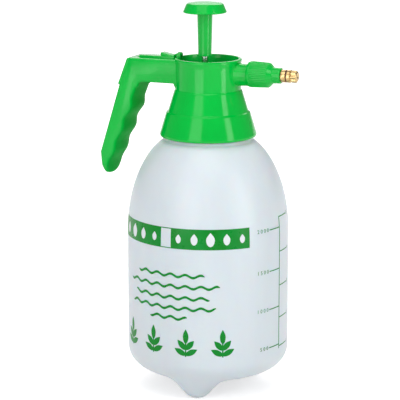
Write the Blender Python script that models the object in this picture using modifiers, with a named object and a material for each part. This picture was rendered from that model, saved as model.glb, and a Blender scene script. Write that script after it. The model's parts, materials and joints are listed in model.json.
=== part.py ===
"""Two-litre hand pump sprayer: bottle, screwed head, plunger pump, thumb valve and adjustable nozzle."""
import math

import bmesh
import bpy
from mathutils import Matrix, Vector

MM = 0.001

# Fits and wall sizes
GAP = 0.3 * MM
RUN = 0.25 * MM
WALL = 2.2 * MM

# Reach of the handle and of the nozzle from the bottle axis
HANDLE_REACH = 88.8 * MM
NOZZLE_REACH = 75.5 * MM
AXIS_X = (HANDLE_REACH - NOZZLE_REACH) / 2

# Bottle
BOTTLE_R = 65.0 * MM
BOTTLE_WALL = 1.6 * MM
COLUMN_STEP = math.radians(12.0)
FOOT_COLUMNS = [math.radians(d) for d in (0.0, 4.5, 9.0, 14.0, 20.0, 27.0)]
BASE_Z = 15.0 * MM
BASE_RISE = 2.2 * MM
BASE_ROUND_R = 24.0 * MM
BASE_ROUND_Z = 19.2 * MM
SIDE_TOP_Z = 128.0 * MM
SHOULDER_Z = 205.4 * MM
SHOULDER_R = 31.4 * MM
SHOULDER_BEND = 2.15
SHOULDER_FULL = 0.66
FOOT_INSET = 25.0 * MM
FOOT_R = BOTTLE_R - FOOT_INSET
FOOT_SPREAD = 24.0 * MM
FOOT_FULL = 1.2
FOOT_FADE = 10.0 * MM
FRONT_FOOT = math.radians(-82.5)
REAR_FOOT_STEP = math.radians(135.0)
NECK_R = 28.0 * MM
NECK_Z = 209.0 * MM
MOUTH_Z = 219.5 * MM

# Neck thread
PITCH = 6.0 * MM
THREAD_H = 1.6 * MM
THREAD_BASE = 1.1 * MM
THREAD_CREST = 0.6 * MM
THREAD_TURNS = 1.25
THREAD_STEPS = 32
THREAD_ROOT = 0.5 * MM
THREAD_Z = 210.3 * MM
THREAD_DROP = 2.0 * MM
THREAD_LEAD = 0.2
BORE_R = NECK_R + THREAD_H + 2 * GAP

# Pump
PUMP_X = -3.0 * MM
GASKET_T = 1.9 * MM
GASKET_R = NECK_R + 1.0 * MM
FLANGE_R = BORE_R - 2 * GAP
FLANGE_T = 2.3 * MM
GASKET_Z = MOUTH_Z + GAP
FLANGE_Z = GASKET_Z + GASKET_T + GAP
SHELF_Z = FLANGE_Z + FLANGE_T + GAP
SHELF_T = 2.2 * MM
SHELF_HOLE_R = 25.8 * MM
CYL_R = 14.5 * MM
CYL_WALL = 1.5 * MM
BORE_CYL_R = CYL_R - CYL_WALL
CYL_Z0 = 172.0 * MM
CYL_FLOOR = 2.4 * MM
CYL_Z1 = 232.0 * MM
VENT_R = 1.2 * MM
VENT_RING = 5.5 * MM
VENTS = 4
PUMP_CAP_R = 16.4 * MM
PUMP_CAP_Z0 = 226.2 * MM
PUMP_CAP_TOP = 235.0 * MM
CHAMFER = 0.6 * MM
ROD_R = 2.5 * MM
ROD_Z0 = 219.5 * MM
NUT_R = 4.6 * MM
NUT_Z = (220.4 * MM, 223.6 * MM)
PISTON_Z = (223.9 * MM, 230.3 * MM)
PISTON_R = BORE_CYL_R - 0.4 * MM
SEAL_Z = (225.9 * MM, 228.3 * MM)
SEAL_R = 10.7 * MM
VALVE_DISC_R = 8.2 * MM
VALVE_DISC_T = 1.2 * MM
VALVE_POST_R = 1.3 * MM
VALVE_BULB_R = 2.2 * MM
VALVE_BULB_H = 2.0 * MM

# Plunger knob and shaft
KNOB_TOP_Z = 313.6 * MM
KNOB_FACE_R = 13.9 * MM
KNOB_R = 17.15 * MM
KNOB_H = 9.2 * MM
KNOB_Z0 = KNOB_TOP_Z - KNOB_H
KNOB_WALL = 2.0 * MM
SHAFT_TOP_R = 5.85 * MM
SHAFT_LOW_R = 5.15 * MM
SHAFT_FOOT_R = 5.5 * MM
SHAFT_L = 43.1 * MM
SHAFT_Z0 = KNOB_TOP_Z - SHAFT_L
SHAFT_LIP = 1.1 * MM
SOCKET_DEPTH = 19.5 * MM
SOCKET_TOP = SHAFT_Z0 + SOCKET_DEPTH
ROD_Z1 = SOCKET_TOP - 2 * RUN

# Head collar
COLLAR_STEPS = 40
RIM_Z = 268.9 * MM
RIM_R = 26.9 * MM
RIM_H = 3.3 * MM
NECK_PART_R = 26.3 * MM
WELL_R = 24.2 * MM
STEP1_Z = 243.2 * MM
STEP1_R = 26.9 * MM
STEP2_Z = 225.7 * MM
STEP2_R = 33.7 * MM
STEP_CUT = 1.5 * MM
SKIRT_R = 38.3 * MM
SKIRT_Z = 209.2 * MM
SKIRT_Z0 = 206.3 * MM
SLEEVE_R = BORE_R + WALL
SLEEVE_Z0 = 207.6 * MM
GROOVE_TOP = 219.0 * MM
WINDOW_Y = 11.4 * MM
WINDOW_Z = (252.8 * MM, 262.0 * MM)

# Arm and grip
ARM_HALF = 14.5 * MM
ARM_Z0 = 250.0 * MM
ARM_Z1 = 267.5 * MM
ARM_EDGE = 2.2 * MM
GUSSET_X = (-21.6 * MM, -24.8 * MM)
GUSSET_Z = 246.0 * MM
GRIP_TOP_X = -58.4 * MM
GRIP_TOP_Z = 246.0 * MM
GRIP_LOW_Z = 178.5 * MM
GRIP_SLOPE = 0.386
WAVE_Z = 227.5 * MM
WAVE_PITCH = 18.0 * MM
WAVE_TOP = 2.6 * MM
WAVE_LOW = 1.2 * MM
WAVE_POINTS = 19
GRIP_ROUND_Z = 189.0 * MM
GRIP_ROUND_STEPS = 14
GRIP_END = [(-83.4 * MM, 175.2 * MM), (-85.0 * MM, 174.0 * MM), (-86.6 * MM, 175.4 * MM),
            (-87.9 * MM, 180.6 * MM)]
CROOK_X = 3.4 * MM
CROOK_Z = 1.6 * MM
BACK_LOW = (-HANDLE_REACH, 190.7 * MM)
BACK_TOP = (-71.9 * MM, 246.0 * MM)
CAVITY_Y = 12.0 * MM
CAVITY_Z = (252.2 * MM, 265.3 * MM)

# Elbow cap
CAP_LOW = (-73.2 * MM, 245.9 * MM)
CAP_TOP = (-64.9 * MM, ARM_Z1)
CAP_T = 2.4 * MM
CAP_EDGE = 0.9 * MM
SCREW_AT = 3.6 * MM
SCREW_HEAD_R = 2.4 * MM
SCREW_HEAD_T = 1.3 * MM
SCREW_R = 1.2 * MM
SCREW_L = 8.0 * MM
SCREW_SUNK = 0.2 * MM

# Thumb lever
PIVOT_X = -24.6 * MM
PIVOT_Z = 270.9 * MM
BARREL_R = 1.7 * MM
PIN_R = 0.9 * MM
TONGUE_HALF = 1.6 * MM
TONGUE_TOP = 270.0 * MM
EAR_T = 1.2 * MM
EAR_HALF_X = 1.6 * MM
EAR_TOP = 272.5 * MM
EAR_LOW = 266.5 * MM
LEVER_HALF = 4.6 * MM
LEVER_Z = (266.0 * MM, 269.0 * MM)
LEVER_BACK_X = -59.3 * MM
LEVER_FRONT_X = -27.8 * MM
PAD_HALF = 3.7 * MM
PAD_BACK_X = -39.9 * MM
PAD_TOP = 271.9 * MM
PAD_END_Z = 269.7 * MM
LEVER_EDGE = 0.7 * MM
PAD_EDGE = 0.4 * MM
SLOT_SIDE = 0.4 * MM
SLOT_END = 1.0 * MM

# Spray valve in the arm
VALVE_X = -42.0 * MM
VALVE_BLOCK_X = (-47.5 * MM, -37.0 * MM)
VALVE_BLOCK_Y = 9.0 * MM
VALVE_BLOCK_Z1 = 259.5 * MM
TOWER_R = 6.0 * MM
TOWER_Z1 = 262.7 * MM
CHAMBER_R = 3.6 * MM
CHAMBER_Z0 = 253.6 * MM
GLAND_Z = (260.7 * MM, 262.9 * MM)
GLAND_R = 4.3 * MM
STEM_TOP = LEVER_Z[0] - GAP
STEM_R = 1.8 * MM
STEM_DISC_R = 3.2 * MM
STEM_DISC_Z = (259.0 * MM, 260.4 * MM)
STEM_TAIL_R = 1.2 * MM
STEM_SEAL_Z = (257.4 * MM, 258.7 * MM)
SPRING_Z = (253.9 * MM, 257.0 * MM)
SPRING_R = 2.4 * MM
SPRING_WIRE = 0.2 * MM
SPRING_COILS = 3
BARB_R = 1.7 * MM
BARB_BORE = 0.9 * MM
LINK_BORE = 0.6 * MM
BARB_L = 5.5 * MM
BARB_Y = 6.0 * MM
BARB_Z = 257.2 * MM

# Dip tube and hose
TUBE_R = 3.0 * MM
HOSE_R = 2.8 * MM
HOSE_BORE = BARB_R + GAP
TUBE_Y = 20.2 * MM
TUBE_Z0 = 27.0 * MM
TUBE_RISE_Z = 238.0 * MM
HOSE_TURN_X = -28.5 * MM
RISE_BEND = [(-3.6 * MM, 19.4 * MM, 244.5 * MM), (-6.6 * MM, 16.8 * MM, 250.3 * MM),
             (-11.2 * MM, 13.2 * MM, 254.6 * MM), (-16.4 * MM, 9.8 * MM, 256.8 * MM),
             (-22.0 * MM, 7.2 * MM, BARB_Z)]
HOSE_BEND = [(-21.5 * MM, -7.6 * MM, 0.9 * MM), (-14.0 * MM, -12.2 * MM, 0.6 * MM),
             (-6.0 * MM, -15.6 * MM, 0.3 * MM), (2.0 * MM, -14.8 * MM, 0.0), (7.0 * MM, -9.6 * MM, 0.0),
             (10.2 * MM, -3.6 * MM, 0.0)]
GROMMET_HOLE = TUBE_R + 1.2 * MM
GROMMET_LIP_R = 4.8 * MM
GROMMET_LIP_T = 1.0 * MM
STRAINER_R = 4.6 * MM
STRAINER_Z = (19.5 * MM, 32.0 * MM)
STRAINER_FLOOR = 1.6 * MM
STRAINER_SLOT = 1.2 * MM

# Nozzle
NOZZLE_Z = 258.1 * MM
BOSS_R = 8.5 * MM
BOSS_X = (24.4 * MM, 34.6 * MM)
SPIGOT_R = 7.4 * MM
SPIGOT_X = 46.5 * MM
BOSS_BORE = 3.4 * MM
BOSS_BORE_X = 30.0 * MM
NOZZLE_BARB_X = 16.5 * MM
WASHER_T = 1.2 * MM
HOLDER_X0 = BOSS_X[1] + GAP
HOLDER_LIP_X = 37.0 * MM
HOLDER_RIB_X = 52.2 * MM
HOLDER_NECK_X = 55.4 * MM
HOLDER_X1 = 62.0 * MM
HOLDER_R = 10.5 * MM
HOLDER_FRONT_R = 9.8 * MM
HOLDER_NECK_R = 6.2 * MM
HOLDER_BORE = SPIGOT_R + GAP
HOLDER_RIBS = 30
RIB_H = 0.4 * MM
CORE_R = 3.2 * MM
CORE_X0 = 50.0 * MM
CORE_FLANGE_R = 5.1 * MM
CORE_FLANGE_X = (HOLDER_X1 + GAP, 65.6 * MM)
CORE_STEM_R = 2.2 * MM
CORE_STEM_X = 72.5 * MM
CORE_BORE = 0.9 * MM
ORING_R = 4.4 * MM
ORING_WIRE = 0.8 * MM
ORING_X = CORE_FLANGE_X[1] + GAP + ORING_WIRE
TIP_X0 = ORING_X + ORING_WIRE + GAP
TIP_COLLAR_X = 70.4 * MM
TIP_COLLAR_R = 5.1 * MM
TIP_R = 4.4 * MM
TIP_LOBES = 8
TIP_LOBE_H = 0.35 * MM
TIP_BORE_X = 74.0 * MM
ORIFICE_R = 0.6 * MM

GREEN = (0.02, 0.42, 0.06, 1.0)
WHITE = (0.75, 0.77, 0.80, 1.0)
BRASS = (0.70, 0.52, 0.22, 1.0)
STEEL = (0.62, 0.63, 0.65, 1.0)
RUBBER = (0.03, 0.03, 0.03, 1.0)
RED_RUBBER = (0.12, 0.02, 0.02, 1.0)

for old in list(bpy.data.objects):
    bpy.data.objects.remove(old, do_unlink=True)

scene = bpy.context.scene
parts = bpy.data.collections.new("pump_sprayer")
tools = bpy.data.collections.new("cutters")
scene.collection.children.link(parts)
scene.collection.children.link(tools)
tools.hide_render = True

root = bpy.data.objects.new("bottle_axis", None)
root.location = (AXIS_X, 0, 0)
parts.objects.link(root)


def finish(obj, colour, roughness, metallic=0.0):
    """Gives a part its own material and hangs it on the bottle axis."""
    mat = bpy.data.materials.new(obj.name + "_finish")
    mat.use_nodes = True
    shader = mat.node_tree.nodes["Principled BSDF"]
    shader.inputs["Base Color"].default_value = colour
    shader.inputs["Roughness"].default_value = roughness
    shader.inputs["Metallic"].default_value = metallic
    obj.data.materials.append(mat)
    parts.objects.link(obj)
    obj.parent = root
    return obj


def cutter(obj):
    """Puts a Boolean tool aside, out of every render."""
    tools.objects.link(obj)
    obj.parent = root
    obj.hide_render = True
    obj.display_type = "WIRE"
    return obj


def boolean(obj, tool, operation):
    mod = obj.modifiers.new(operation.title(), "BOOLEAN")
    mod.operation = operation
    mod.solver = "EXACT"
    mod.object = tool


def from_bmesh(name, bm, smooth=False):
    bmesh.ops.recalc_face_normals(bm, faces=bm.faces)
    for face in bm.faces:
        face.smooth = smooth
    mesh = bpy.data.meshes.new(name)
    bm.to_mesh(mesh)
    bm.free()
    return bpy.data.objects.new(name, mesh)


def turned(name, profile, steps=24, x=0.0, y=0.0, closed=True, along_x=False):
    """Profile of (radius, height) turned about Z, or about X at the nozzle's height."""
    mesh = bpy.data.meshes.new(name)
    edges = [(i, i + 1) for i in range(len(profile) - 1)]
    if closed:
        edges.append((len(profile) - 1, 0))
    mesh.from_pydata([(r, 0.0, z) for r, z in profile], edges, [])
    obj = bpy.data.objects.new(name, mesh)
    mod = obj.modifiers.new("Turn", "SCREW")
    mod.axis = "Z"
    mod.angle = 2 * math.pi
    mod.steps = steps
    mod.render_steps = steps
    mod.use_merge_vertices = True
    mod.merge_threshold = 0.00001
    mod.use_smooth_shade = True
    obj.location = (x, y, 0.0)
    if along_x:
        obj.location = (0.0, 0.0, NOZZLE_Z)
        obj.rotation_euler = (0.0, math.pi / 2, 0.0)
    return obj


def ring(name, r0, r1, z0, z1, **place):
    """Plain ring between two radii and two heights."""
    return turned(name, [(r1, z1), (r1, z0), (r0, z0), (r0, z1)], **place)


def block(name, low, high):
    bm = bmesh.new()
    bmesh.ops.create_cube(bm, size=1.0)
    for v in bm.verts:
        v.co = Vector(lo + (c + 0.5) * (hi - lo) for c, lo, hi in zip(v.co, low, high))
    return from_bmesh(name, bm)


def rods(name, bars, segments=16):
    """Plain round bars, each from one point to another, in one object."""
    bm = bmesh.new()
    for start, end, radius in bars:
        start, end = Vector(start), Vector(end)
        turn = (end - start).to_track_quat("Z", "Y").to_matrix().to_4x4()
        place = Matrix.Translation((start + end) / 2) @ turn
        bmesh.ops.create_cone(bm, cap_ends=True, segments=segments, radius1=radius, radius2=radius,
                              depth=(end - start).length, matrix=place)
    return from_bmesh(name, bm, smooth=True)


def prism(name, outline, half, edge=0.0, origin=(0.0, 0.0)):
    """Side outline of (x, z) points drawn out to both sides of the middle plane."""
    ox, oz = origin
    bm = bmesh.new()
    near = [bm.verts.new((x - ox, -half, z - oz)) for x, z in outline]
    far = [bm.verts.new((x - ox, half, z - oz)) for x, z in outline]
    bm.faces.new(near)
    bm.faces.new(far)
    for i in range(len(outline)):
        j = (i + 1) % len(outline)
        bm.faces.new((near[i], near[j], far[j], far[i]))
    obj = from_bmesh(name, bm)
    obj.location = (ox, 0.0, oz)
    if edge:
        mod = obj.modifiers.new("Edges", "BEVEL")
        mod.width = edge
        mod.segments = 2
        mod.limit_method = "ANGLE"
        mod.angle_limit = math.radians(40)
    return obj


def lofted(name, rings):
    """Closed skin through rings of points, the last joined to the first."""
    bm = bmesh.new()
    rows = [[bm.verts.new(p) for p in points] for points in rings]
    count = len(rows[0])
    for a, b in zip(rows, rows[1:] + rows[:1]):
        for i in range(count):
            j = (i + 1) % count
            bm.faces.new((a[i], a[j], b[j], b[i]))
    return from_bmesh(name, bm)


def round_ring(x, radius, count, lobes=0, lobe=0.0):
    """Ring about the nozzle axis, with an optional wave in its radius."""
    points = []
    for i in range(count):
        a = 2 * math.pi * i / count
        r = radius + lobe * math.cos(lobes * a)
        points.append((x, r * math.cos(a), r * math.sin(a)))
    return points


def smooth_path(points, per_span=2):
    """Points along a smooth curve through the given ones."""
    pts = [Vector(p) for p in points]
    out = []
    for i in range(len(pts) - 1):
        a, b = pts[max(i - 1, 0)], pts[i]
        c, d = pts[i + 1], pts[min(i + 2, len(pts) - 1)]
        for k in range(per_span):
            t = k / per_span
            out.append(0.5 * (2 * b + (c - a) * t + (2 * a - 5 * b + 4 * c - d) * t * t
                              + (3 * b - a - 3 * c + d) * t ** 3))
    out.append(pts[-1])
    return out


def tube(name, path, outer, inner, sides=10):
    """Open pipe along a path."""
    skins = [[], []]
    upright = abs((path[1] - path[0]).normalized().z) > 0.9
    side = Vector((1.0, 0.0, 0.0)) if upright else Vector((0.0, 0.0, 1.0))
    for i, p in enumerate(path):
        along = (path[min(i + 1, len(path) - 1)] - path[max(i - 1, 0)]).normalized()
        side = (side - along * side.dot(along)).normalized()
        cross = along.cross(side)
        for skin, radius in zip(skins, (outer, inner)):
            skin.append([p + radius * (side * math.cos(a) + cross * math.sin(a))
                         for a in (2 * math.pi * k / sides for k in range(sides))])
    return lofted(name, skins[0] + skins[1][::-1])


def helix_ridge(name, r_in, r_out, z, first, turns):
    """Screw ridge from radius r_in at its foot to r_out at its crest."""
    bm = bmesh.new()
    count = int(round(turns * THREAD_STEPS))
    rows = []
    for i in range(count + 1):
        turn = first + i / THREAD_STEPS
        a = 2 * math.pi * turn
        mid = z + PITCH * turn
        section = ((r_in, -THREAD_BASE), (r_out, -THREAD_CREST), (r_out, THREAD_CREST), (r_in, THREAD_BASE))
        rows.append([bm.verts.new((r * math.cos(a), r * math.sin(a), mid + dz)) for r, dz in section])
    for a, b in zip(rows, rows[1:]):
        for i in range(4):
            j = (i + 1) % 4
            bm.faces.new((a[i], a[j], b[j], b[i]))
    bm.faces.new(rows[0])
    bm.faces.new(rows[-1])
    return from_bmesh(name, bm)


def foot_drop(x, y):
    """How far the base sinks at a point to make the feet."""
    drop = 0.0
    for k in (0, 1, -1):
        a = FRONT_FOOT + k * REAR_FOOT_STEP
        d = math.hypot(x - FOOT_R * math.cos(a), y - FOOT_R * math.sin(a)) / FOOT_SPREAD
        if d < 1.0:
            drop = max(drop, FOOT_FULL * BASE_Z * math.cos(math.pi / 2 * d) ** 2)
    fade = min(max((BOTTLE_R - math.hypot(x, y)) / FOOT_FADE, 0.0), 1.0)
    return drop * fade * fade * (3 - 2 * fade)


def bottle_profile():
    """Outer side of the bottle from the middle of the base to the mouth."""
    rows = []
    flat_r = BOTTLE_R - BASE_ROUND_R
    for r in (0.3, 0.6, 0.78, 0.88, 1.0):
        radius = r * flat_r if r < 1.0 else FOOT_R
        rows.append((radius, BASE_Z + BASE_RISE * (1 - (radius / flat_r) ** 2)))
    for deg in (81, 69, 57, 44, 30, 15, 0):
        t = math.radians(deg)
        rows.append((flat_r + BASE_ROUND_R * math.cos(t), BASE_Z + BASE_ROUND_Z * (1 - math.sin(t))))
    rows.append((BOTTLE_R, SIDE_TOP_Z))
    for v in (0.22, 0.4, 0.56, 0.7, 0.82, 0.91, 0.97, 1.0):
        full = (1 - v ** SHOULDER_BEND) ** SHOULDER_FULL
        rows.append((SHOULDER_R + (BOTTLE_R - SHOULDER_R) * full,
                     SIDE_TOP_Z + (SHOULDER_Z - SIDE_TOP_Z) * v))
    for share in (0.35, 0.06):
        rows.append((NECK_R + share * (SHOULDER_R - NECK_R), NECK_Z - share ** 0.35 * (NECK_Z - SHOULDER_Z)))
    rows += [(NECK_R, NECK_Z), (NECK_R, MOUTH_Z)]
    return rows


def bottle_columns():
    """Angles round the bottle, closer together at the feet."""
    feet = [FRONT_FOOT, FRONT_FOOT + REAR_FOOT_STEP, FRONT_FOOT + 2 * math.pi - REAR_FOOT_STEP]
    angles = []
    for here, there in zip(feet, feet[1:] + [FRONT_FOOT + 2 * math.pi]):
        start, free = here + FOOT_COLUMNS[-1], there - here - 2 * FOOT_COLUMNS[-1]
        count = math.ceil(free / COLUMN_STEP)
        angles += [here + a for a in FOOT_COLUMNS]
        angles += [start + free * k / count for k in range(1, count)]
        angles += [there - a for a in FOOT_COLUMNS[:0:-1]]
    return angles


def make_bottle():
    bm = bmesh.new()
    middle = bm.verts.new((0, 0, BASE_Z + BASE_RISE))
    rows = []
    columns = bottle_columns()
    for r, z in bottle_profile():
        row = []
        for a in columns:
            x, y = r * math.cos(a), r * math.sin(a)
            low = max(z - foot_drop(x, y), 0.0) if z < BASE_Z + BASE_ROUND_Z else z
            row.append(bm.verts.new((x, y, low)))
        rows.append(row)
    for i in range(len(columns)):
        j = (i + 1) % len(columns)
        bm.faces.new((middle, rows[0][j], rows[0][i]))
        for a, b in zip(rows, rows[1:]):
            bm.faces.new((a[i], a[j], b[j], b[i]))
    obj = from_bmesh("bottle", bm, smooth=True)
    wall = obj.modifiers.new("Wall", "SOLIDIFY")
    wall.thickness = BOTTLE_WALL
    wall.offset = -1.0
    wall.use_even_offset = True
    ridge = helix_ridge("neck_thread_tool", NECK_R - THREAD_ROOT, NECK_R + THREAD_H,
                        THREAD_Z, 0.0, THREAD_TURNS)
    boolean(obj, cutter(ridge), "UNION")
    finish(obj, WHITE, 0.35)


def make_collar():
    profile = [(RIM_R - CHAMFER, RIM_Z), (RIM_R, RIM_Z - CHAMFER), (RIM_R, RIM_Z - RIM_H),
               (NECK_PART_R, RIM_Z - RIM_H - CHAMFER), (NECK_PART_R, STEP1_Z + STEP_CUT), (STEP1_R, STEP1_Z),
               (STEP2_R - STEP_CUT, STEP2_Z + STEP_CUT), (STEP2_R, STEP2_Z), (SKIRT_R, SKIRT_Z),
               (SKIRT_R - CHAMFER / 2, SKIRT_Z0 + 2 * CHAMFER), (SKIRT_R - 2 * CHAMFER, SKIRT_Z0),
               (SKIRT_R - WALL - GAP, SKIRT_Z0), (SLEEVE_R + WALL / 2, GROOVE_TOP), (SLEEVE_R, GROOVE_TOP),
               (SLEEVE_R, SLEEVE_Z0), (BORE_R, SLEEVE_Z0), (BORE_R, SHELF_Z), (SHELF_HOLE_R, SHELF_Z),
               (SHELF_HOLE_R, SHELF_Z + SHELF_T), (STEP2_R - STEP_CUT - WALL, SHELF_Z + SHELF_T + CHAMFER),
               (STEP1_R - WALL, STEP1_Z - CHAMFER), (WELL_R, STEP1_Z + STEP_CUT), (WELL_R, RIM_Z - CHAMFER),
               (WELL_R + CHAMFER, RIM_Z)]
    obj = turned("head_collar", profile, steps=COLLAR_STEPS)
    ridge = helix_ridge("collar_thread_tool", BORE_R + THREAD_ROOT, BORE_R - THREAD_H,
                        THREAD_Z - THREAD_DROP, THREAD_LEAD, THREAD_TURNS)
    boolean(obj, cutter(ridge), "UNION")
    spout = turned("boss_tool", [(0, SPIGOT_X), (SPIGOT_R, SPIGOT_X), (SPIGOT_R, BOSS_X[1]),
                                 (BOSS_R, BOSS_X[1]), (BOSS_R, BOSS_X[0]), (BARB_R, BOSS_X[0]),
                                 (BARB_R, NOZZLE_BARB_X), (0, NOZZLE_BARB_X)], closed=False, along_x=True)
    boolean(obj, cutter(spout), "UNION")
    ear_in = TONGUE_HALF + GAP
    for side in (-1, 1):
        y = sorted((side * ear_in, side * (ear_in + EAR_T)))
        ear = block("ear_tool", (PIVOT_X - EAR_HALF_X, y[0], EAR_LOW),
                    (PIVOT_X + EAR_HALF_X, y[1], EAR_TOP))
        boolean(obj, cutter(ear), "UNION")
    front, rear = SPIGOT_X + WALL, NOZZLE_BARB_X - WALL
    way = turned("boss_bore_tool", [(0, front), (BOSS_BORE, front), (BOSS_BORE, BOSS_BORE_X),
                                    (BARB_BORE, BOSS_BORE_X), (BARB_BORE, rear), (0, rear)],
                 steps=16, closed=False, along_x=True)
    boolean(obj, cutter(way), "DIFFERENCE")
    window = block("window_tool", (-RIM_R - WALL, -WINDOW_Y, WINDOW_Z[0]),
                   (-WELL_R + 4 * WALL, WINDOW_Y, WINDOW_Z[1]))
    boolean(obj, cutter(window), "DIFFERENCE")
    hole = rods("ear_hole_tool", [((PIVOT_X, -ARM_HALF, PIVOT_Z), (PIVOT_X, ARM_HALF, PIVOT_Z),
                                   PIN_R + RUN)], 12)
    boolean(obj, cutter(hole), "DIFFERENCE")
    finish(obj, GREEN, 0.3)


def along_back(distance, inward):
    """Point on the elbow's back line, so far up it and so far in from it."""
    low, top = Vector(CAP_LOW), Vector(CAP_TOP)
    up = (top - low).normalized()
    inside = Vector((up.y, -up.x))
    return low + up * distance + inside * inward


def at_height(inward, z):
    """Point at a height on a line so far in from the elbow's back line."""
    low, high = along_back(0.0, inward), along_back(1.0, inward)
    return low + (high - low) * (z - low.y) / (high.y - low.y)


def finger_line():
    """Inner side of the grip from top to bottom with its finger waves."""
    points = []
    for i in range(WAVE_POINTS):
        z = GRIP_TOP_Z + (GRIP_LOW_Z - GRIP_TOP_Z) * i / (WAVE_POINTS - 1)
        share = min(max((WAVE_Z - z) / (WAVE_Z - GRIP_LOW_Z), 0.0), 1.0)
        height = WAVE_TOP + (WAVE_LOW - WAVE_TOP) * share
        if z > WAVE_Z + WAVE_PITCH / 2:
            height = 0.0
        wave = height * (1 + math.cos(2 * math.pi * (z - WAVE_Z) / WAVE_PITCH)) / 2
        points.append((GRIP_TOP_X - GRIP_SLOPE * (GRIP_TOP_Z - z) + wave, z))
    return points


def end_mould():
    """Block round the whole grip that rounds its lower end across the hand."""
    half = ARM_HALF + WALL
    deep = GRIP_ROUND_Z - min(z for _, z in GRIP_END) + GAP
    turns = [math.pi * (k / GRIP_ROUND_STEPS - 1) for k in range(GRIP_ROUND_STEPS + 1)]
    outline = [(half, ARM_Z1 + WALL), (-half, ARM_Z1 + WALL)]
    outline += [(half * math.cos(a), GRIP_ROUND_Z + deep * math.sin(a)) for a in turns]
    mould = prism("grip_end_tool", outline, HANDLE_REACH + WALL)
    mould.rotation_euler = (0.0, 0.0, math.pi / 2)
    return mould


def make_handle():
    slope = (BACK_TOP[0] - BACK_LOW[0]) / (BACK_TOP[1] - BACK_LOW[1])
    step = along_back(-GAP, 0.0)
    inside = along_back(-GAP, 1.0) - step
    reach = (BACK_TOP[0] + slope * (step.y - BACK_TOP[1]) - step.x) / (inside.x - slope * inside.y)
    seat = CAP_T + GAP
    outline = [(-WELL_R + 4 * WALL, ARM_Z1), (-WELL_R + 4 * WALL, GUSSET_Z), (GUSSET_X[0], GUSSET_Z),
               (GUSSET_X[1], ARM_Z0), (GRIP_TOP_X + CROOK_X, ARM_Z0),
               (GRIP_TOP_X + CROOK_X / 4, ARM_Z0 - CROOK_Z)]
    outline += finger_line()
    outline += GRIP_END
    outline += [BACK_LOW, tuple(step + inside * reach), tuple(along_back(-GAP, seat)),
                tuple(at_height(seat, ARM_Z1))]
    obj = prism("handle", outline, ARM_HALF, ARM_EDGE)
    boolean(obj, cutter(end_mould()), "INTERSECT")
    core = rods("arm_end_tool", [((0, 0, GUSSET_Z - 2 * WALL), (0, 0, RIM_Z + WALL), RIM_R + GAP)],
                COLLAR_STEPS)
    boolean(obj, cutter(core), "DIFFERENCE")
    hollow = block("arm_hollow_tool", (-HANDLE_REACH, -CAVITY_Y, CAVITY_Z[0]),
                   (-WELL_R, CAVITY_Y, CAVITY_Z[1]))
    boolean(obj, cutter(hollow), "DIFFERENCE")
    slot_half = LEVER_HALF + SLOT_SIDE
    slot = block("lever_slot_tool", (LEVER_BACK_X - SLOT_END, -slot_half, CAVITY_Z[1] - WALL),
                 (-WELL_R, slot_half, ARM_Z1 + WALL))
    boolean(obj, cutter(slot), "DIFFERENCE")
    bottom, top = along_back(SCREW_AT, SCREW_L + WALL / 2), along_back(SCREW_AT, 0.0)
    pilot = rods("pilot_tool", [((bottom.x, 0, bottom.y), (top.x, 0, top.y), SCREW_R + GAP)], 12)
    boolean(obj, cutter(pilot), "DIFFERENCE")
    finish(obj, GREEN, 0.3)


def make_elbow_cap():
    outline = [along_back(0.0, 0.0), CAP_TOP, at_height(CAP_T, ARM_Z1), along_back(0.0, CAP_T)]
    obj = prism("elbow_cap", [tuple(p) for p in outline], ARM_HALF, CAP_EDGE)
    ends = [along_back(SCREW_AT, d) for d in (-CAP_EDGE, SCREW_HEAD_T + GAP, SCREW_HEAD_T, CAP_T + CAP_EDGE)]
    points = [(p.x, 0.0, p.y) for p in ends]
    sink = rods("screw_sink_tool", [(points[0], points[1], SCREW_HEAD_R + GAP)], 16)
    through = rods("screw_way_tool", [(points[2], points[3], SCREW_R + GAP)], 12)
    boolean(obj, cutter(sink), "DIFFERENCE")
    boolean(obj, cutter(through), "DIFFERENCE")
    finish(obj, GREEN, 0.3)
    screw = turned("cap_screw", [(0, 0), (SCREW_HEAD_R, 0), (SCREW_HEAD_R, -SCREW_HEAD_T),
                                 (SCREW_R, -SCREW_HEAD_T), (SCREW_R, -SCREW_L), (0, -SCREW_L)],
                   steps=16, closed=False)
    head, tip = along_back(SCREW_AT, SCREW_SUNK), along_back(SCREW_AT, SCREW_L)
    screw.location = (head.x, 0.0, head.y)
    outward = Vector((head.x - tip.x, 0.0, head.y - tip.y))
    screw.rotation_euler = outward.to_track_quat("Z", "Y").to_euler()
    cross = block("screw_slot_tool", (-SCREW_R - GAP, -GAP, -SCREW_HEAD_T / 2),
                  (SCREW_R + GAP, GAP, SCREW_HEAD_T))
    cutter(cross).parent = screw
    boolean(screw, cross, "DIFFERENCE")
    finish(screw, STEEL, 0.35, 1.0)


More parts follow.
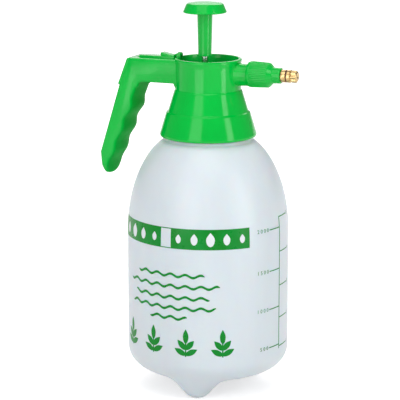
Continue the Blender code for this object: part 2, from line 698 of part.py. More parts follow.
def make_lever():
    pivot = (PIVOT_X, PIVOT_Z)
    z0, z1 = LEVER_Z
    outline = [(LEVER_BACK_X, z0), (LEVER_FRONT_X, z0), (LEVER_FRONT_X, z1), (LEVER_BACK_X + WALL, z1)]
    obj = prism("thumb_lever", outline, LEVER_HALF, LEVER_EDGE, pivot)
    pad_front = LEVER_FRONT_X - LEVER_EDGE
    pad_foot = z1 - WALL / 2
    pad = [(PAD_BACK_X, pad_foot), (pad_front, pad_foot), (pad_front, PAD_END_Z), (PAD_BACK_X, PAD_TOP)]
    boolean(obj, cutter(prism("pad_tool", pad, PAD_HALF, PAD_EDGE)), "UNION")
    barrel = [(PIVOT_X + BARREL_R * math.cos(a), PIVOT_Z + BARREL_R * math.sin(a))
              for a in (math.radians(d) for d in range(-90, 151, 30))]
    tongue = barrel + [(LEVER_FRONT_X - WALL, TONGUE_TOP), (LEVER_FRONT_X - WALL, PIVOT_Z - BARREL_R)]
    boolean(obj, cutter(prism("tongue_tool", tongue, TONGUE_HALF)), "UNION")
    hole = rods("lever_hole_tool", [((PIVOT_X, -ARM_HALF, PIVOT_Z), (PIVOT_X, ARM_HALF, PIVOT_Z),
                                     PIN_R + RUN)], 12)
    boolean(obj, cutter(hole), "DIFFERENCE")
    finish(obj, GREEN, 0.3)
    end = TONGUE_HALF + GAP + EAR_T
    pin = rods("lever_pin", [((PIVOT_X, -end, PIVOT_Z), (PIVOT_X, end, PIVOT_Z), PIN_R)], 12)
    finish(pin, STEEL, 0.3, 1.0)


def make_plunger():
    skirt = KNOB_Z0 + KNOB_WALL / 2
    under = KNOB_TOP_Z - 1.5 * KNOB_WALL
    profile = [(0, KNOB_TOP_Z), (0.6 * KNOB_FACE_R, KNOB_TOP_Z - CHAMFER / 6),
               (KNOB_FACE_R - 2 * CHAMFER, KNOB_TOP_Z - CHAMFER), (KNOB_FACE_R, KNOB_TOP_Z - 2.3 * CHAMFER),
               (KNOB_R - CHAMFER, skirt + 2 * CHAMFER), (KNOB_R, skirt),
               (KNOB_R - CHAMFER / 3, KNOB_Z0 + CHAMFER / 3), (KNOB_R - 2 * CHAMFER, KNOB_Z0),
               (KNOB_R - KNOB_WALL, skirt), (KNOB_FACE_R - KNOB_WALL, under),
               (SHAFT_TOP_R + 2 * CHAMFER, under), (SHAFT_TOP_R, under - 2.5 * CHAMFER),
               (SHAFT_LOW_R, SHAFT_Z0 + 2 * KNOB_WALL), (SHAFT_LOW_R, SHAFT_Z0 + SHAFT_LIP + CHAMFER),
               (SHAFT_FOOT_R, SHAFT_Z0 + SHAFT_LIP), (SHAFT_FOOT_R, SHAFT_Z0 + CHAMFER / 3),
               (SHAFT_FOOT_R - CHAMFER / 2, SHAFT_Z0), (ROD_R + GAP, SHAFT_Z0), (ROD_R + GAP, SOCKET_TOP),
               (0, SOCKET_TOP)]
    finish(turned("plunger_handle", profile, steps=28, x=PUMP_X, closed=False), GREEN, 0.3)
    rod = [(0, ROD_Z1), (ROD_R, ROD_Z1), (ROD_R, ROD_Z0), (0, ROD_Z0)]
    finish(turned("piston_rod", rod, steps=20, x=PUMP_X, closed=False), STEEL, 0.2, 1.0)
    p0, p1 = PISTON_Z
    s0, s1 = SEAL_Z
    hub = ROD_R + GAP
    groove = SEAL_R - GAP
    profile = [(PISTON_R - CHAMFER, p1), (PISTON_R, p1 - CHAMFER), (PISTON_R, s1 + GAP), (groove, s1 + GAP),
               (groove, s0 - GAP), (PISTON_R, s0 - GAP), (PISTON_R, p0), (hub, p0), (hub, p1)]
    finish(turned("piston", profile, x=PUMP_X), WHITE, 0.4)
    finish(ring("piston_seal", SEAL_R, BORE_CYL_R - RUN, s0, s1, x=PUMP_X), RUBBER, 0.6)
    nut = rods("rod_nut", [((PUMP_X, 0, NUT_Z[0]), (PUMP_X, 0, NUT_Z[1]), NUT_R)], 6)
    way = rods("nut_hole_tool", [((PUMP_X, 0, NUT_Z[0] - WALL), (PUMP_X, 0, NUT_Z[1] + WALL), hub)], 20)
    boolean(nut, cutter(way), "DIFFERENCE")
    finish(nut, STEEL, 0.35, 1.0)


def make_pump():
    gasket = ring("neck_gasket", SHELF_HOLE_R, GASKET_R, GASKET_Z, GASKET_Z + GASKET_T, steps=COLLAR_STEPS)
    finish(gasket, RUBBER, 0.6)
    floor = CYL_Z0 + CYL_FLOOR
    profile = [(CYL_R, CYL_Z1), (CYL_R, CYL_Z0), (VALVE_POST_R + GAP, CYL_Z0), (VALVE_POST_R + GAP, floor),
               (BORE_CYL_R, floor), (BORE_CYL_R, CYL_Z1)]
    obj = turned("pump_cylinder", profile, steps=28, x=PUMP_X)
    above = FLANGE_Z + FLANGE_T
    plate = turned("flange_plate_tool", [(0, above), (FLANGE_R, above), (FLANGE_R, FLANGE_Z), (0, FLANGE_Z)],
                   steps=COLLAR_STEPS, closed=False)
    hole = rods("flange_hole_tool", [((PUMP_X, 0, FLANGE_Z - WALL), (PUMP_X, 0, FLANGE_Z + 2 * WALL),
                                      CYL_R - CYL_WALL / 2)], 28)
    boolean(cutter(plate), cutter(hole), "DIFFERENCE")
    boolean(obj, plate, "UNION")
    holes = [((PUMP_X, TUBE_Y, FLANGE_Z - WALL), (PUMP_X, TUBE_Y, FLANGE_Z + 2 * WALL), GROMMET_HOLE)]
    for k in range(VENTS):
        a = 2 * math.pi * k / VENTS
        x, y = PUMP_X + VENT_RING * math.cos(a), VENT_RING * math.sin(a)
        holes.append(((x, y, CYL_Z0 - WALL), (x, y, floor + WALL), VENT_R))
    boolean(obj, cutter(rods("pump_holes_tool", holes, 12)), "DIFFERENCE")
    finish(obj, WHITE, 0.4)
    inner = CYL_Z1 + GAP
    profile = [(PUMP_CAP_R - CHAMFER, PUMP_CAP_TOP), (PUMP_CAP_R, PUMP_CAP_TOP - CHAMFER),
               (PUMP_CAP_R, PUMP_CAP_Z0), (CYL_R + GAP, PUMP_CAP_Z0), (CYL_R + GAP, inner),
               (ROD_R + RUN, inner), (ROD_R + RUN, PUMP_CAP_TOP)]
    finish(turned("pump_cap", profile, steps=28, x=PUMP_X), WHITE, 0.4)
    top = CYL_Z0 - GAP
    bulb = floor + GAP
    profile = [(0, bulb + VALVE_BULB_H), (VALVE_POST_R, bulb + VALVE_BULB_H), (VALVE_BULB_R, bulb),
               (VALVE_POST_R, bulb), (VALVE_POST_R, top), (VALVE_DISC_R, top),
               (VALVE_DISC_R, top - VALVE_DISC_T / 2), (VALVE_BULB_R, top - VALVE_DISC_T),
               (0, top - VALVE_DISC_T)]
    finish(turned("check_valve", profile, steps=20, x=PUMP_X, closed=False), RED_RUBBER, 0.6)


def make_tubes():
    at_valve = VALVE_BLOCK_X[1] + GAP
    rise = [(PUMP_X, TUBE_Y, TUBE_RISE_Z), *RISE_BEND, (HOSE_TURN_X, BARB_Y, BARB_Z),
            (at_valve, BARB_Y, BARB_Z)]
    path = [Vector((PUMP_X, TUBE_Y, TUBE_Z0))] + smooth_path(rise)
    finish(tube("dip_tube", path, TUBE_R, HOSE_BORE), WHITE, 0.3)
    bend = [(x, y, NOZZLE_Z - dz) for x, y, dz in HOSE_BEND]
    run = [(HOSE_TURN_X, -BARB_Y, BARB_Z), *bend, (NOZZLE_BARB_X - GROMMET_LIP_T, 0, NOZZLE_Z)]
    path = [Vector((at_valve, -BARB_Y, BARB_Z))] + smooth_path(run)
    path.append(Vector((WELL_R - 2 * GAP, 0, NOZZLE_Z)))
    finish(tube("outlet_hose", path, HOSE_R, HOSE_BORE), WHITE, 0.3)
    low, high = FLANGE_Z - GAP, FLANGE_Z + FLANGE_T + GAP
    sleeve = GROMMET_HOLE - GAP
    profile = [(GROMMET_LIP_R, high + GROMMET_LIP_T), (GROMMET_LIP_R, high), (sleeve, high), (sleeve, low),
               (GROMMET_LIP_R, low), (GROMMET_LIP_R, low - GROMMET_LIP_T),
               (TUBE_R + GAP, low - GROMMET_LIP_T), (TUBE_R + GAP, high + GROMMET_LIP_T)]
    finish(turned("tube_grommet", profile, steps=20, x=PUMP_X, y=TUBE_Y), RUBBER, 0.6)
    z0, z1 = STRAINER_Z
    floor = z0 + STRAINER_FLOOR
    bore = TUBE_R + GAP
    profile = [(0, floor), (bore, floor), (bore, z1), (STRAINER_R, z1), (STRAINER_R, z0 + CHAMFER),
               (STRAINER_R - CHAMFER, z0), (0, z0)]
    obj = turned("dip_strainer", profile, steps=20, x=PUMP_X, y=TUBE_Y, closed=False)
    across = 3 * STRAINER_R
    for wide, deep in ((across, STRAINER_SLOT), (STRAINER_SLOT, across)):
        slot = block("strainer_slot_tool", (PUMP_X - wide / 2, TUBE_Y - deep / 2, floor + GAP),
                     (PUMP_X + wide / 2, TUBE_Y + deep / 2, TUBE_Z0 - GAP))
        boolean(obj, cutter(slot), "DIFFERENCE")
    finish(obj, GREEN, 0.4)


def make_valve():
    floor = CAVITY_Z[0] + GAP
    x0, x1 = VALVE_BLOCK_X
    obj = block("valve_body", (x0, -VALVE_BLOCK_Y, floor), (x1, VALVE_BLOCK_Y, VALVE_BLOCK_Z1))
    tower = rods("tower_tool", [((VALVE_X, 0, floor + WALL), (VALVE_X, 0, TOWER_Z1), TOWER_R)], 20)
    boolean(obj, cutter(tower), "UNION")
    barbs = [((x1 - WALL, s * BARB_Y, BARB_Z), (x1 + BARB_L, s * BARB_Y, BARB_Z), BARB_R) for s in (-1, 1)]
    boolean(obj, cutter(rods("barb_tool", barbs, 12)), "UNION")
    mouth, seat = TOWER_Z1 + WALL, GLAND_Z[0] - GAP
    chamber = turned("chamber_tool", [(0, mouth), (GLAND_R + GAP, mouth), (GLAND_R + GAP, seat),
                                      (CHAMBER_R, seat), (CHAMBER_R, CHAMBER_Z0), (0, CHAMBER_Z0)],
                     steps=20, x=VALVE_X, closed=False)
    boolean(obj, cutter(chamber), "DIFFERENCE")
    ways = [((VALVE_X, s * BARB_Y, BARB_Z), (x1 + BARB_L + WALL, s * BARB_Y, BARB_Z), BARB_BORE)
            for s in (-1, 1)]
    boolean(obj, cutter(rods("barb_bore_tool", ways, 10)), "DIFFERENCE")
    link = [((VALVE_X + BARB_BORE, -BARB_Y, BARB_Z), (VALVE_X + BARB_BORE, BARB_Y, BARB_Z), LINK_BORE)]
    boolean(obj, cutter(rods("link_bore_tool", link, 10)), "DIFFERENCE")
    finish(obj, WHITE, 0.4)
    finish(ring("valve_gland", STEM_R + GAP, GLAND_R, *GLAND_Z, steps=20, x=VALVE_X), WHITE, 0.4)
    d0, d1 = STEM_DISC_Z
    s0, s1 = STEM_SEAL_Z
    profile = [(0, STEM_TOP), (STEM_R, STEM_TOP), (STEM_R, d1), (STEM_DISC_R, d1), (STEM_DISC_R, d0),
               (STEM_TAIL_R, d0), (STEM_TAIL_R, s0 - GAP), (0, s0 - GAP)]
    finish(turned("valve_stem", profile, steps=20, x=VALVE_X, closed=False), BRASS, 0.3, 1.0)
    seal = ring("stem_seal", STEM_TAIL_R + GAP, CHAMBER_R - GAP, s0, s1, steps=20, x=VALVE_X)
    finish(seal, RUBBER, 0.6)
    curve = bpy.data.curves.new("valve_spring", "CURVE")
    curve.dimensions = "3D"
    curve.bevel_depth = SPRING_WIRE
    curve.bevel_resolution = 1
    curve.use_fill_caps = True
    spline = curve.splines.new("POLY")
    count = SPRING_COILS * 10
    low, high = SPRING_Z[0] + SPRING_WIRE, SPRING_Z[1] - SPRING_WIRE
    spline.points.add(count)
    for i, point in enumerate(spline.points):
        a = 2 * math.pi * SPRING_COILS * i / count
        point.co = (SPRING_R * math.cos(a), SPRING_R * math.sin(a), low + (high - low) * i / count, 1.0)
    spring = bpy.data.objects.new("valve_spring", curve)
    spring.location = (VALVE_X, 0.0, 0.0)
    finish(spring, STEEL, 0.3, 1.0)


def make_nozzle():
    washer = SPIGOT_X + GAP
    seal = ring("holder_washer", BOSS_BORE + GAP, SPIGOT_R, washer, washer + WASHER_T, along_x=True)
    finish(seal, RUBBER, 0.6)
    seat = washer + WASHER_T + GAP
    n = 2 * HOLDER_RIBS
    ribs = {"lobes": HOLDER_RIBS, "lobe": RIB_H / 2}
    mid, front = HOLDER_R - RIB_H / 2, HOLDER_FRONT_R - RIB_H / 2
    throat = CORE_R + GAP
    rings = [round_ring(HOLDER_X0, HOLDER_R - CHAMFER, n), round_ring(HOLDER_X0 + CHAMFER, HOLDER_R, n),
             round_ring(HOLDER_LIP_X, HOLDER_R, n), round_ring(HOLDER_LIP_X + RIB_H, mid, n, **ribs),
             round_ring(HOLDER_RIB_X, front, n, **ribs),
             round_ring(HOLDER_RIB_X + CHAMFER, front - CHAMFER, n),
             round_ring(HOLDER_NECK_X, HOLDER_NECK_R, n), round_ring(HOLDER_X1, HOLDER_NECK_R, n),
             round_ring(HOLDER_X1, throat, n), round_ring(seat, throat, n), round_ring(seat, HOLDER_BORE, n),
             round_ring(HOLDER_X0, HOLDER_BORE, n)]
    obj = lofted("nozzle_holder", rings)
    obj.location = (0.0, 0.0, NOZZLE_Z)
    finish(obj, GREEN, 0.3)
    f0, f1 = CORE_FLANGE_X
    profile = [(CORE_STEM_R, CORE_STEM_X), (CORE_STEM_R, f1), (CORE_FLANGE_R - CHAMFER, f1),
               (CORE_FLANGE_R, f1 - CHAMFER), (CORE_FLANGE_R, f0), (CORE_R, f0), (CORE_R, CORE_X0),
               (CORE_BORE, CORE_X0), (CORE_BORE, CORE_STEM_X)]
    finish(turned("nozzle_core", profile, along_x=True), BRASS, 0.25, 1.0)
    section = [(ORING_R + ORING_WIRE * math.sin(a), ORING_X + ORING_WIRE * math.cos(a))
               for a in (2 * math.pi * k / 8 for k in range(8))]
    finish(turned("nozzle_oring", section, along_x=True), RED_RUBBER, 0.5)
    n = 4 * TIP_LOBES
    lobes = {"lobes": TIP_LOBES, "lobe": TIP_LOBE_H}
    bore = CORE_STEM_R + GAP
    rings = [round_ring(TIP_X0, TIP_COLLAR_R - CHAMFER, n), round_ring(TIP_X0 + CHAMFER, TIP_COLLAR_R, n),
             round_ring(TIP_COLLAR_X - CHAMFER, TIP_COLLAR_R, n), round_ring(TIP_COLLAR_X, TIP_R, n, **lobes),
             round_ring(NOZZLE_REACH - CHAMFER, TIP_R, n, **lobes),
             round_ring(NOZZLE_REACH, TIP_R - CHAMFER, n), round_ring(NOZZLE_REACH, ORIFICE_R, n),
             round_ring(TIP_BORE_X, ORIFICE_R, n), round_ring(TIP_BORE_X, bore, n),
             round_ring(TIP_X0, bore, n)]
    obj = lofted("nozzle_tip", rings)
    obj.location = (0.0, 0.0, NOZZLE_Z)
    finish(obj, BRASS, 0.25, 1.0)


make_bottle()
make_collar()
make_handle()
make_elbow_cap()
make_lever()
make_plunger()
make_pump()
make_tubes()
make_valve()
make_nozzle()
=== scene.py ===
"""Looks of a hand pump sprayer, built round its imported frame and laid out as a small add-on."""
import json
import math

import bmesh
import bpy
from bpy.props import FloatProperty, FloatVectorProperty, PointerProperty
from mathutils import Matrix, Vector


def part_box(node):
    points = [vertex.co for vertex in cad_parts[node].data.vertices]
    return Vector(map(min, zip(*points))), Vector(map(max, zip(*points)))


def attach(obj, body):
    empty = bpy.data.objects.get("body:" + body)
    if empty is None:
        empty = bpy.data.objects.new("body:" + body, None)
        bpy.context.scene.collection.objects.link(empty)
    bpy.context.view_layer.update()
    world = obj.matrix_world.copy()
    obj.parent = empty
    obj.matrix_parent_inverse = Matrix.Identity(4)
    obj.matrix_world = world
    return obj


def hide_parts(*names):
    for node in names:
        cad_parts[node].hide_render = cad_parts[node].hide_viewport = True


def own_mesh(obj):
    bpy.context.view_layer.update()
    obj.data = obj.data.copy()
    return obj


bl_info = {
    "name": "Pump sprayer looks",
    "version": (1, 0, 0),
    "blender": (4, 5, 0),
    "location": "View3D > Sidebar > Sprayer",
    "description": "Dresses the pump sprayer and sets its stage",
    "category": "Object",
}

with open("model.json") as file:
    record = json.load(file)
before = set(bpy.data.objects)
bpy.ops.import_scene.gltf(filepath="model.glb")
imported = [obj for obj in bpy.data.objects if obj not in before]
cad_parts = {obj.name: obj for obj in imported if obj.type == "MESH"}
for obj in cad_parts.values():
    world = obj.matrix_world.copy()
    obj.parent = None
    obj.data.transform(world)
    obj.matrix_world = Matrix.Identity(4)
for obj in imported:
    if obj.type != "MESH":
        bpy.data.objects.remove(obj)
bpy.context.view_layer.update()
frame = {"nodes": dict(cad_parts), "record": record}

MM = 0.001
FULL_TURN = 2 * math.pi
QUARTER_TURN = math.pi / 2
BOTTLE_LOW, BOTTLE_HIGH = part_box("bottle")
AXIS_X = (BOTTLE_LOW.x + BOTTLE_HIGH.x) / 2 / MM
KNOB_LOW, KNOB_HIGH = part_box("plunger_handle")
TIP_LOW, TIP_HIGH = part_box("nozzle_tip")

# Sizes below are in millimetres from the bottle's axis and the floor
PUMP_X = (KNOB_LOW.x + KNOB_HIGH.x) / 2 / MM - AXIS_X
NOZZLE_Z = (TIP_LOW.z + TIP_HIGH.z) / 2 / MM
NOZZLE_SIDES = 64
CAMERA_TURN = math.radians(22.5)
FACING = CAMERA_TURN - QUARTER_TURN


def length(name, text, default):
    """Size property in millimetres of the object, stored in metres."""
    return FloatProperty(name=name, description=text, default=default * MM, unit="LENGTH",
                         precision=5)


def share(name, text, default):
    return FloatProperty(name=name, description=text, default=default, subtype="FACTOR")


def watts(name, text, default):
    return FloatProperty(name=name, description=text, default=default, unit="POWER")


def paint(name, text, default):
    return FloatVectorProperty(name=name, description=text, default=default, subtype="COLOR",
                               min=0.0, max=1.0)


class SprayerSizes(bpy.types.PropertyGroup):
    """Sizes that a user would change."""
    bottle_radius: length("Bottle radius", "Outer radius of the bottle's straight side",
                          (BOTTLE_HIGH.y - BOTTLE_LOW.y) / 2 / MM)
    bottle_wall: length("Bottle wall", "Thickness of the blown wall", 1.6)
    base_level: length("Base level", "Height of the base between the feet", 15.0)
    side_top: length("Side top", "Height where the shoulder starts", 128.0)
    mouth_level: length("Mouth level", "Height of the neck's mouth", BOTTLE_HIGH.z / MM)
    foot_circle: length("Foot circle", "Radius of the circle that the feet stand on", 40.0)
    foot_spread: length("Foot spread", "Radius at which a foot has a third of its depth", 15.0)
    rim_radius: length("Rim radius", "Outer radius of the collar's rim", 26.75)
    skirt_radius: length("Skirt radius", "Outer radius of the collar's lower edge", 38.9)
    grip_width: length("Grip width", "Width of the grip across the fingers", 28.8)
    knob_radius: length("Knob radius", "Outer radius of the plunger's knob", 17.5)
    nut_radius: length("Nozzle nut radius", "Outer radius of the ribbed nut", 10.5)
    ink: length("Ink height", "Thickness of the printed ink", 0.05)


class SprayerFinishes(bpy.types.PropertyGroup):
    """Colours and gloss that a user would change."""
    milk: paint("Bottle", "Milky bottle plastic", (0.735, 0.767, 0.81))
    milk_deep: paint("Bottle streaks", "Slightly denser bottle plastic", (0.71, 0.742, 0.787))
    green: paint("Head green", "Green head plastic", (0.0, 0.53, 0.055))
    green_deep: paint("Head green, deep", "Drift of the head plastic", (0.0, 0.485, 0.048))
    ink_green: paint("Ink green", "Green printing ink", (0.0, 0.225, 0.014))
    ink_thin: paint("Ink green, thin", "Where the ink lies thinner", (0.0, 0.265, 0.03))
    ink_white: paint("Pale marks", "Pale marks on the printed banner", (0.80, 0.84, 0.86))
    white: paint("White plastic", "Pump and valve plastic", (0.74, 0.74, 0.73))
    white_deep: paint("White plastic, deep", "Drift of the pump plastic", (0.66, 0.66, 0.66))
    hose: paint("Hose", "Hose and dip tube plastic", (0.72, 0.75, 0.77))
    hose_deep: paint("Hose, deep", "Drift of the hose plastic", (0.62, 0.66, 0.69))
    brass: paint("Brass", "Turned brass", (0.66, 0.48, 0.23))
    brass_deep: paint("Brass, deep", "Darker tool rings in the brass", (0.39, 0.25, 0.095))
    steel: paint("Steel", "Drawn steel", (0.66, 0.67, 0.69))
    steel_deep: paint("Steel, deep", "Darker draw lines in the steel", (0.45, 0.46, 0.48))
    black: paint("Black rubber", "Seals and gasket", (0.02, 0.02, 0.021))
    black_bloom: paint("Black rubber bloom", "Dust on the seals", (0.06, 0.06, 0.06))
    red: paint("Red rubber", "Check valve and nozzle ring", (0.10, 0.014, 0.012))
    red_bloom: paint("Red rubber bloom", "Dust on the red rubber", (0.18, 0.04, 0.03))
    gloss: share("Head gloss", "Roughness of the green plastic at its smoothest", 0.09)


class SprayerStage(bpy.types.PropertyGroup):
    """Camera and light."""
    lens: FloatProperty(name="Lens", description="Focal length", default=171.0, unit="CAMERA")
    key: watts("Front softbox", "Power of the softbox left of the camera", 5.2)
    side: watts("Side softbox", "Power of the softbox on the nozzle's side", 3.7)
    top: watts("Top softbox", "Power of the overhead softbox", 8.0)
    back: watts("Back softbox", "Power of the softbox behind", 12.5)
    fill: share("Fill", "Strength of the even light all round", 0.3)
    floor: paint("Floor", "Floor paper", (0.80, 0.80, 0.80))
    glow: share("Floor glow", "White that the paper shows by itself near the object", 0.55)
    far_glow: share("Far floor glow", "White that the far paper shows by itself", 0.9)


def chosen(context):
    return context.scene.sprayer_sizes, context.scene.sprayer_finishes


def node(tree, kind, inputs=None, **settings):
    """Adds a shader node and fills its sockets with values or links."""
    made = tree.nodes.new(kind)
    for key, value in settings.items():
        setattr(made, key, value)
    for key, value in (inputs or {}).items():
        if isinstance(value, bpy.types.NodeSocket):
            tree.links.new(value, made.inputs[key])
        else:
            made.inputs[key].default_value = value
    return made


def node_group(name, inputs, outputs):
    """Node group with named sockets, its input sockets and a function that ties its outputs."""
    tree = bpy.data.node_groups.new(name, "ShaderNodeTree")
    kinds = {"colour": "NodeSocketColor", "value": "NodeSocketFloat", "vector": "NodeSocketVector"}
    for socket, kind in inputs:
        tree.interface.new_socket(socket, in_out="INPUT", socket_type=kinds[kind])
    for socket, kind in outputs:
        tree.interface.new_socket(socket, in_out="OUTPUT", socket_type=kinds[kind])
    start, end = tree.nodes.new("NodeGroupInput"), tree.nodes.new("NodeGroupOutput")

    def close(**sockets):
        for key, socket in sockets.items():
            tree.links.new(socket, end.inputs[key])
        return tree

    return tree, start.outputs, close


def own_space(tree):
    return node(tree, "ShaderNodeTexCoord").outputs["Object"]


def stretched(tree, where, factors):
    made = node(tree, "ShaderNodeVectorMath", {0: where, 1: factors}, operation="MULTIPLY")
    return made.outputs["Vector"]


def combined(tree, operation, first, second):
    made = node(tree, "ShaderNodeMath", {0: first, 1: second}, operation=operation)
    return made.outputs["Value"]


def noise(tree, where, scale, detail=2.0, rough=0.5):
    made = node(tree, "ShaderNodeTexNoise",
                {"Vector": where, "Scale": scale, "Detail": detail, "Roughness": rough})
    return made.outputs["Fac"]


def remap(tree, value, low=0.0, high=1.0, to_low=0.0, to_high=1.0):
    made = node(tree, "ShaderNodeMapRange", {"Value": value, "From Min": low, "From Max": high,
                                             "To Min": to_low, "To Max": to_high})
    return made.outputs["Result"]


def blend(tree, factor, first, second):
    """Mix of two colours, by socket numbers because the node repeats its socket names."""
    made = node(tree, "ShaderNodeMix", {0: factor, 6: first, 7: second}, data_type="RGBA")
    return made.outputs[2]


TWO_TONES = [("Colour", "colour"), ("Deep", "colour"), ("Stretch", "vector"),
             ("Low gloss", "value"), ("High gloss", "value")]
SURFACE = [("Colour", "colour"), ("Roughness", "value"), ("Height", "value")]


def moulded_skin():
    """Colour drift, gloss drift and fine grain of a moulded plastic."""
    tree, given, close = node_group("moulded_skin", TWO_TONES + [("Grain", "value")], SURFACE)
    where = own_space(tree)
    flow = noise(tree, stretched(tree, where, given["Stretch"]), scale=1.0, detail=3.0)
    drift = remap(tree, flow, low=0.32, high=0.68)
    rub = noise(tree, where, scale=160.0, detail=4.0, rough=0.6)
    gloss = remap(tree, rub, 0.35, 0.7, given["Low gloss"], given["High gloss"])
    return close(Colour=blend(tree, drift, given["Colour"], given["Deep"]), Roughness=gloss,
                 Height=noise(tree, where, given["Grain"]))


def tooled_metal():
    """Tool rings round the X axis of the nozzle, or draw lines along a rod."""
    tree, given, close = node_group("tooled_metal", TWO_TONES, SURFACE)
    where = own_space(tree)
    rings = noise(tree, stretched(tree, where, given["Stretch"]), scale=1.0, rough=0.4)
    stain = noise(tree, where, scale=240.0, detail=4.0, rough=0.6)
    dark = combined(tree, "MAXIMUM", remap(tree, stain, low=0.4, high=0.75),
                    remap(tree, rings, low=0.35, high=0.7, to_high=0.6))
    gloss = remap(tree, dark, to_low=given["Low gloss"], to_high=given["High gloss"])
    return close(Colour=blend(tree, dark, given["Colour"], given["Deep"]), Roughness=gloss,
                 Height=rings)


def speckled_rubber():
    """Dusty bloom and pores of a rubber ring."""
    tree, given, close = node_group("speckled_rubber", [("Colour", "colour"), ("Bloom", "colour")],
                                    SURFACE)
    where = own_space(tree)
    dust = noise(tree, where, scale=420.0, detail=5.0, rough=0.65)
    bloom = remap(tree, dust, low=0.4, high=0.8)
    return close(Colour=blend(tree, bloom, given["Colour"], given["Bloom"]),
                 Roughness=remap(tree, bloom, to_low=0.42, to_high=0.7),
                 Height=noise(tree, where, scale=1800.0))


def opaque(colour):
    return (*colour, 1.0)


def finished(name, maker, values, bump, depth, **shader):
    """Material whose colour, roughness and relief come from a shared group."""
    made = bpy.data.materials.get(name)
    if made:
        return made
    made = bpy.data.materials.new(name)
    made.use_nodes = True
    tree = made.node_tree
    skin = tree.nodes.new("ShaderNodeGroup")
    skin.node_tree = bpy.data.node_groups.get(maker.__name__) or maker()
    for key, value in values.items():
        skin.inputs[key].default_value = value
    main_shader = tree.nodes["Principled BSDF"]
    for key, value in shader.items():
        main_shader.inputs[key.replace("_", " ")].default_value = value
    relief = node(tree, "ShaderNodeBump", {"Strength": bump, "Distance": depth,
                                           "Height": skin.outputs["Height"]})
    tree.links.new(skin.outputs["Colour"], main_shader.inputs["Base Color"])
    tree.links.new(skin.outputs["Roughness"], main_shader.inputs["Roughness"])
    tree.links.new(relief.outputs["Normal"], main_shader.inputs["Normal"])
    return made


def two_tones(colour, deep, stretch, gloss):
    return {"Colour": opaque(colour), "Deep": opaque(deep), "Stretch": stretch,
            "Low gloss": gloss[0], "High gloss": gloss[1]}


def plastic(name, colour, deep, stretch, gloss, grain, bump, depth, **shader):
    values = {**two_tones(colour, deep, stretch, gloss), "Grain": grain}
    return finished(name, moulded_skin, values, bump, depth, **shader)


def metal(name, colour, deep, stretch, gloss, bump):
    values = two_tones(colour, deep, stretch, gloss)
    return finished(name, tooled_metal, values, bump, depth=0.0002, Metallic=1.0)


def rubber(name, colour, bloom, bump):
    values = {"Colour": opaque(colour), "Bloom": opaque(bloom)}
    return finished(name, speckled_rubber, values, bump, depth=0.0002)


HEAD_FLOW = (38.0, 38.0, 26.0)
GLOSS_DRIFT = 0.08


def green_plastic(look):
    return plastic("green_plastic_finish", look.green, look.green_deep, HEAD_FLOW,
                   gloss=(look.gloss, look.gloss + GLOSS_DRIFT), grain=520.0, bump=0.05,
                   depth=0.0004, Specular_IOR_Level=0.25)


def finger_plastic(look):
    return plastic("finger_plastic_finish", look.green, look.green_deep, HEAD_FLOW,
                   gloss=(0.52, 0.64), grain=1500.0, bump=0.1, depth=0.0003,
                   Specular_IOR_Level=0.06)


def milky_plastic(look):
    return plastic("milky_plastic_finish", look.milk, look.milk_deep, stretch=(55.0, 55.0, 7.0),
                   gloss=(0.3, 0.44), grain=180.0, bump=0.05, depth=0.0006,
                   Subsurface_Weight=0.35, Subsurface_Scale=0.006)


def white_plastic(look):
    return plastic("white_plastic_finish", look.white, look.white_deep, stretch=(60.0, 60.0, 60.0),
                   gloss=(0.3, 0.45), grain=700.0, bump=0.06, depth=0.0004)


def hose_plastic(look):
    return plastic("hose_plastic_finish", look.hose, look.hose_deep, stretch=(90.0, 90.0, 90.0),
                   gloss=(0.14, 0.26), grain=300.0, bump=0.03, depth=0.0004)


def green_ink(look):
    return plastic("green_ink_finish", look.ink_green, look.ink_thin, stretch=(90.0, 90.0, 60.0),
                   gloss=(0.26, 0.4), grain=900.0, bump=0.04, depth=0.0003,
                   Specular_IOR_Level=0.2)


def pale_marks(look):
    return plastic("pale_marks_finish", look.ink_white, look.milk, stretch=(90.0, 90.0, 90.0),
                   gloss=(0.3, 0.44), grain=900.0, bump=0.03, depth=0.0003)


def turned_brass(look):
    return metal("turned_brass_finish", look.brass, look.brass_deep, stretch=(2600.0, 60.0, 60.0),
                 gloss=(0.16, 0.34), bump=0.08)


def drawn_steel(look):
    return metal("drawn_steel_finish", look.steel, look.steel_deep, stretch=(1400.0, 1400.0, 30.0),
                 gloss=(0.14, 0.3), bump=0.06)


def black_rubber(look):
    return rubber("black_rubber_finish", look.black, look.black_bloom, bump=0.15)


def red_rubber(look):
    return rubber("red_rubber_finish", look.red, look.red_bloom, bump=0.12)


# Mesh helpers
CREASE = math.radians(35.0)
WELD = 0.0005
CUT_SNAP = 0.0001
CORNER_STEPS = 3
EDGE_STEPS = 4
UNIT_SQUARE = 0.5


def clamped(value):
    return min(max(value, 0.0), 1.0)


def piece(name, bm, body, material, replaced=()):
    """Turns a bmesh in millimetres about the bottle's axis into a finished piece of a body."""
    bm.transform(Matrix.Translation((AXIS_X * MM, 0.0, 0.0)) @ Matrix.Scale(MM, 4))
    mesh = bpy.data.meshes.new(name)
    bm.to_mesh(mesh)
    bm.free()
    mesh.shade_smooth()
    mesh.set_sharp_from_angle(angle=CREASE)
    obj = bpy.data.objects.new(name, mesh)
    bpy.context.scene.collection.objects.link(obj)
    mesh.materials.append(material)
    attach(obj, body)
    if replaced:
        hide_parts(*replaced)
    return obj


def close_up(bm):
    bmesh.ops.remove_doubles(bm, verts=bm.verts, dist=WELD)
    bmesh.ops.recalc_face_normals(bm, faces=bm.faces)
    return bm


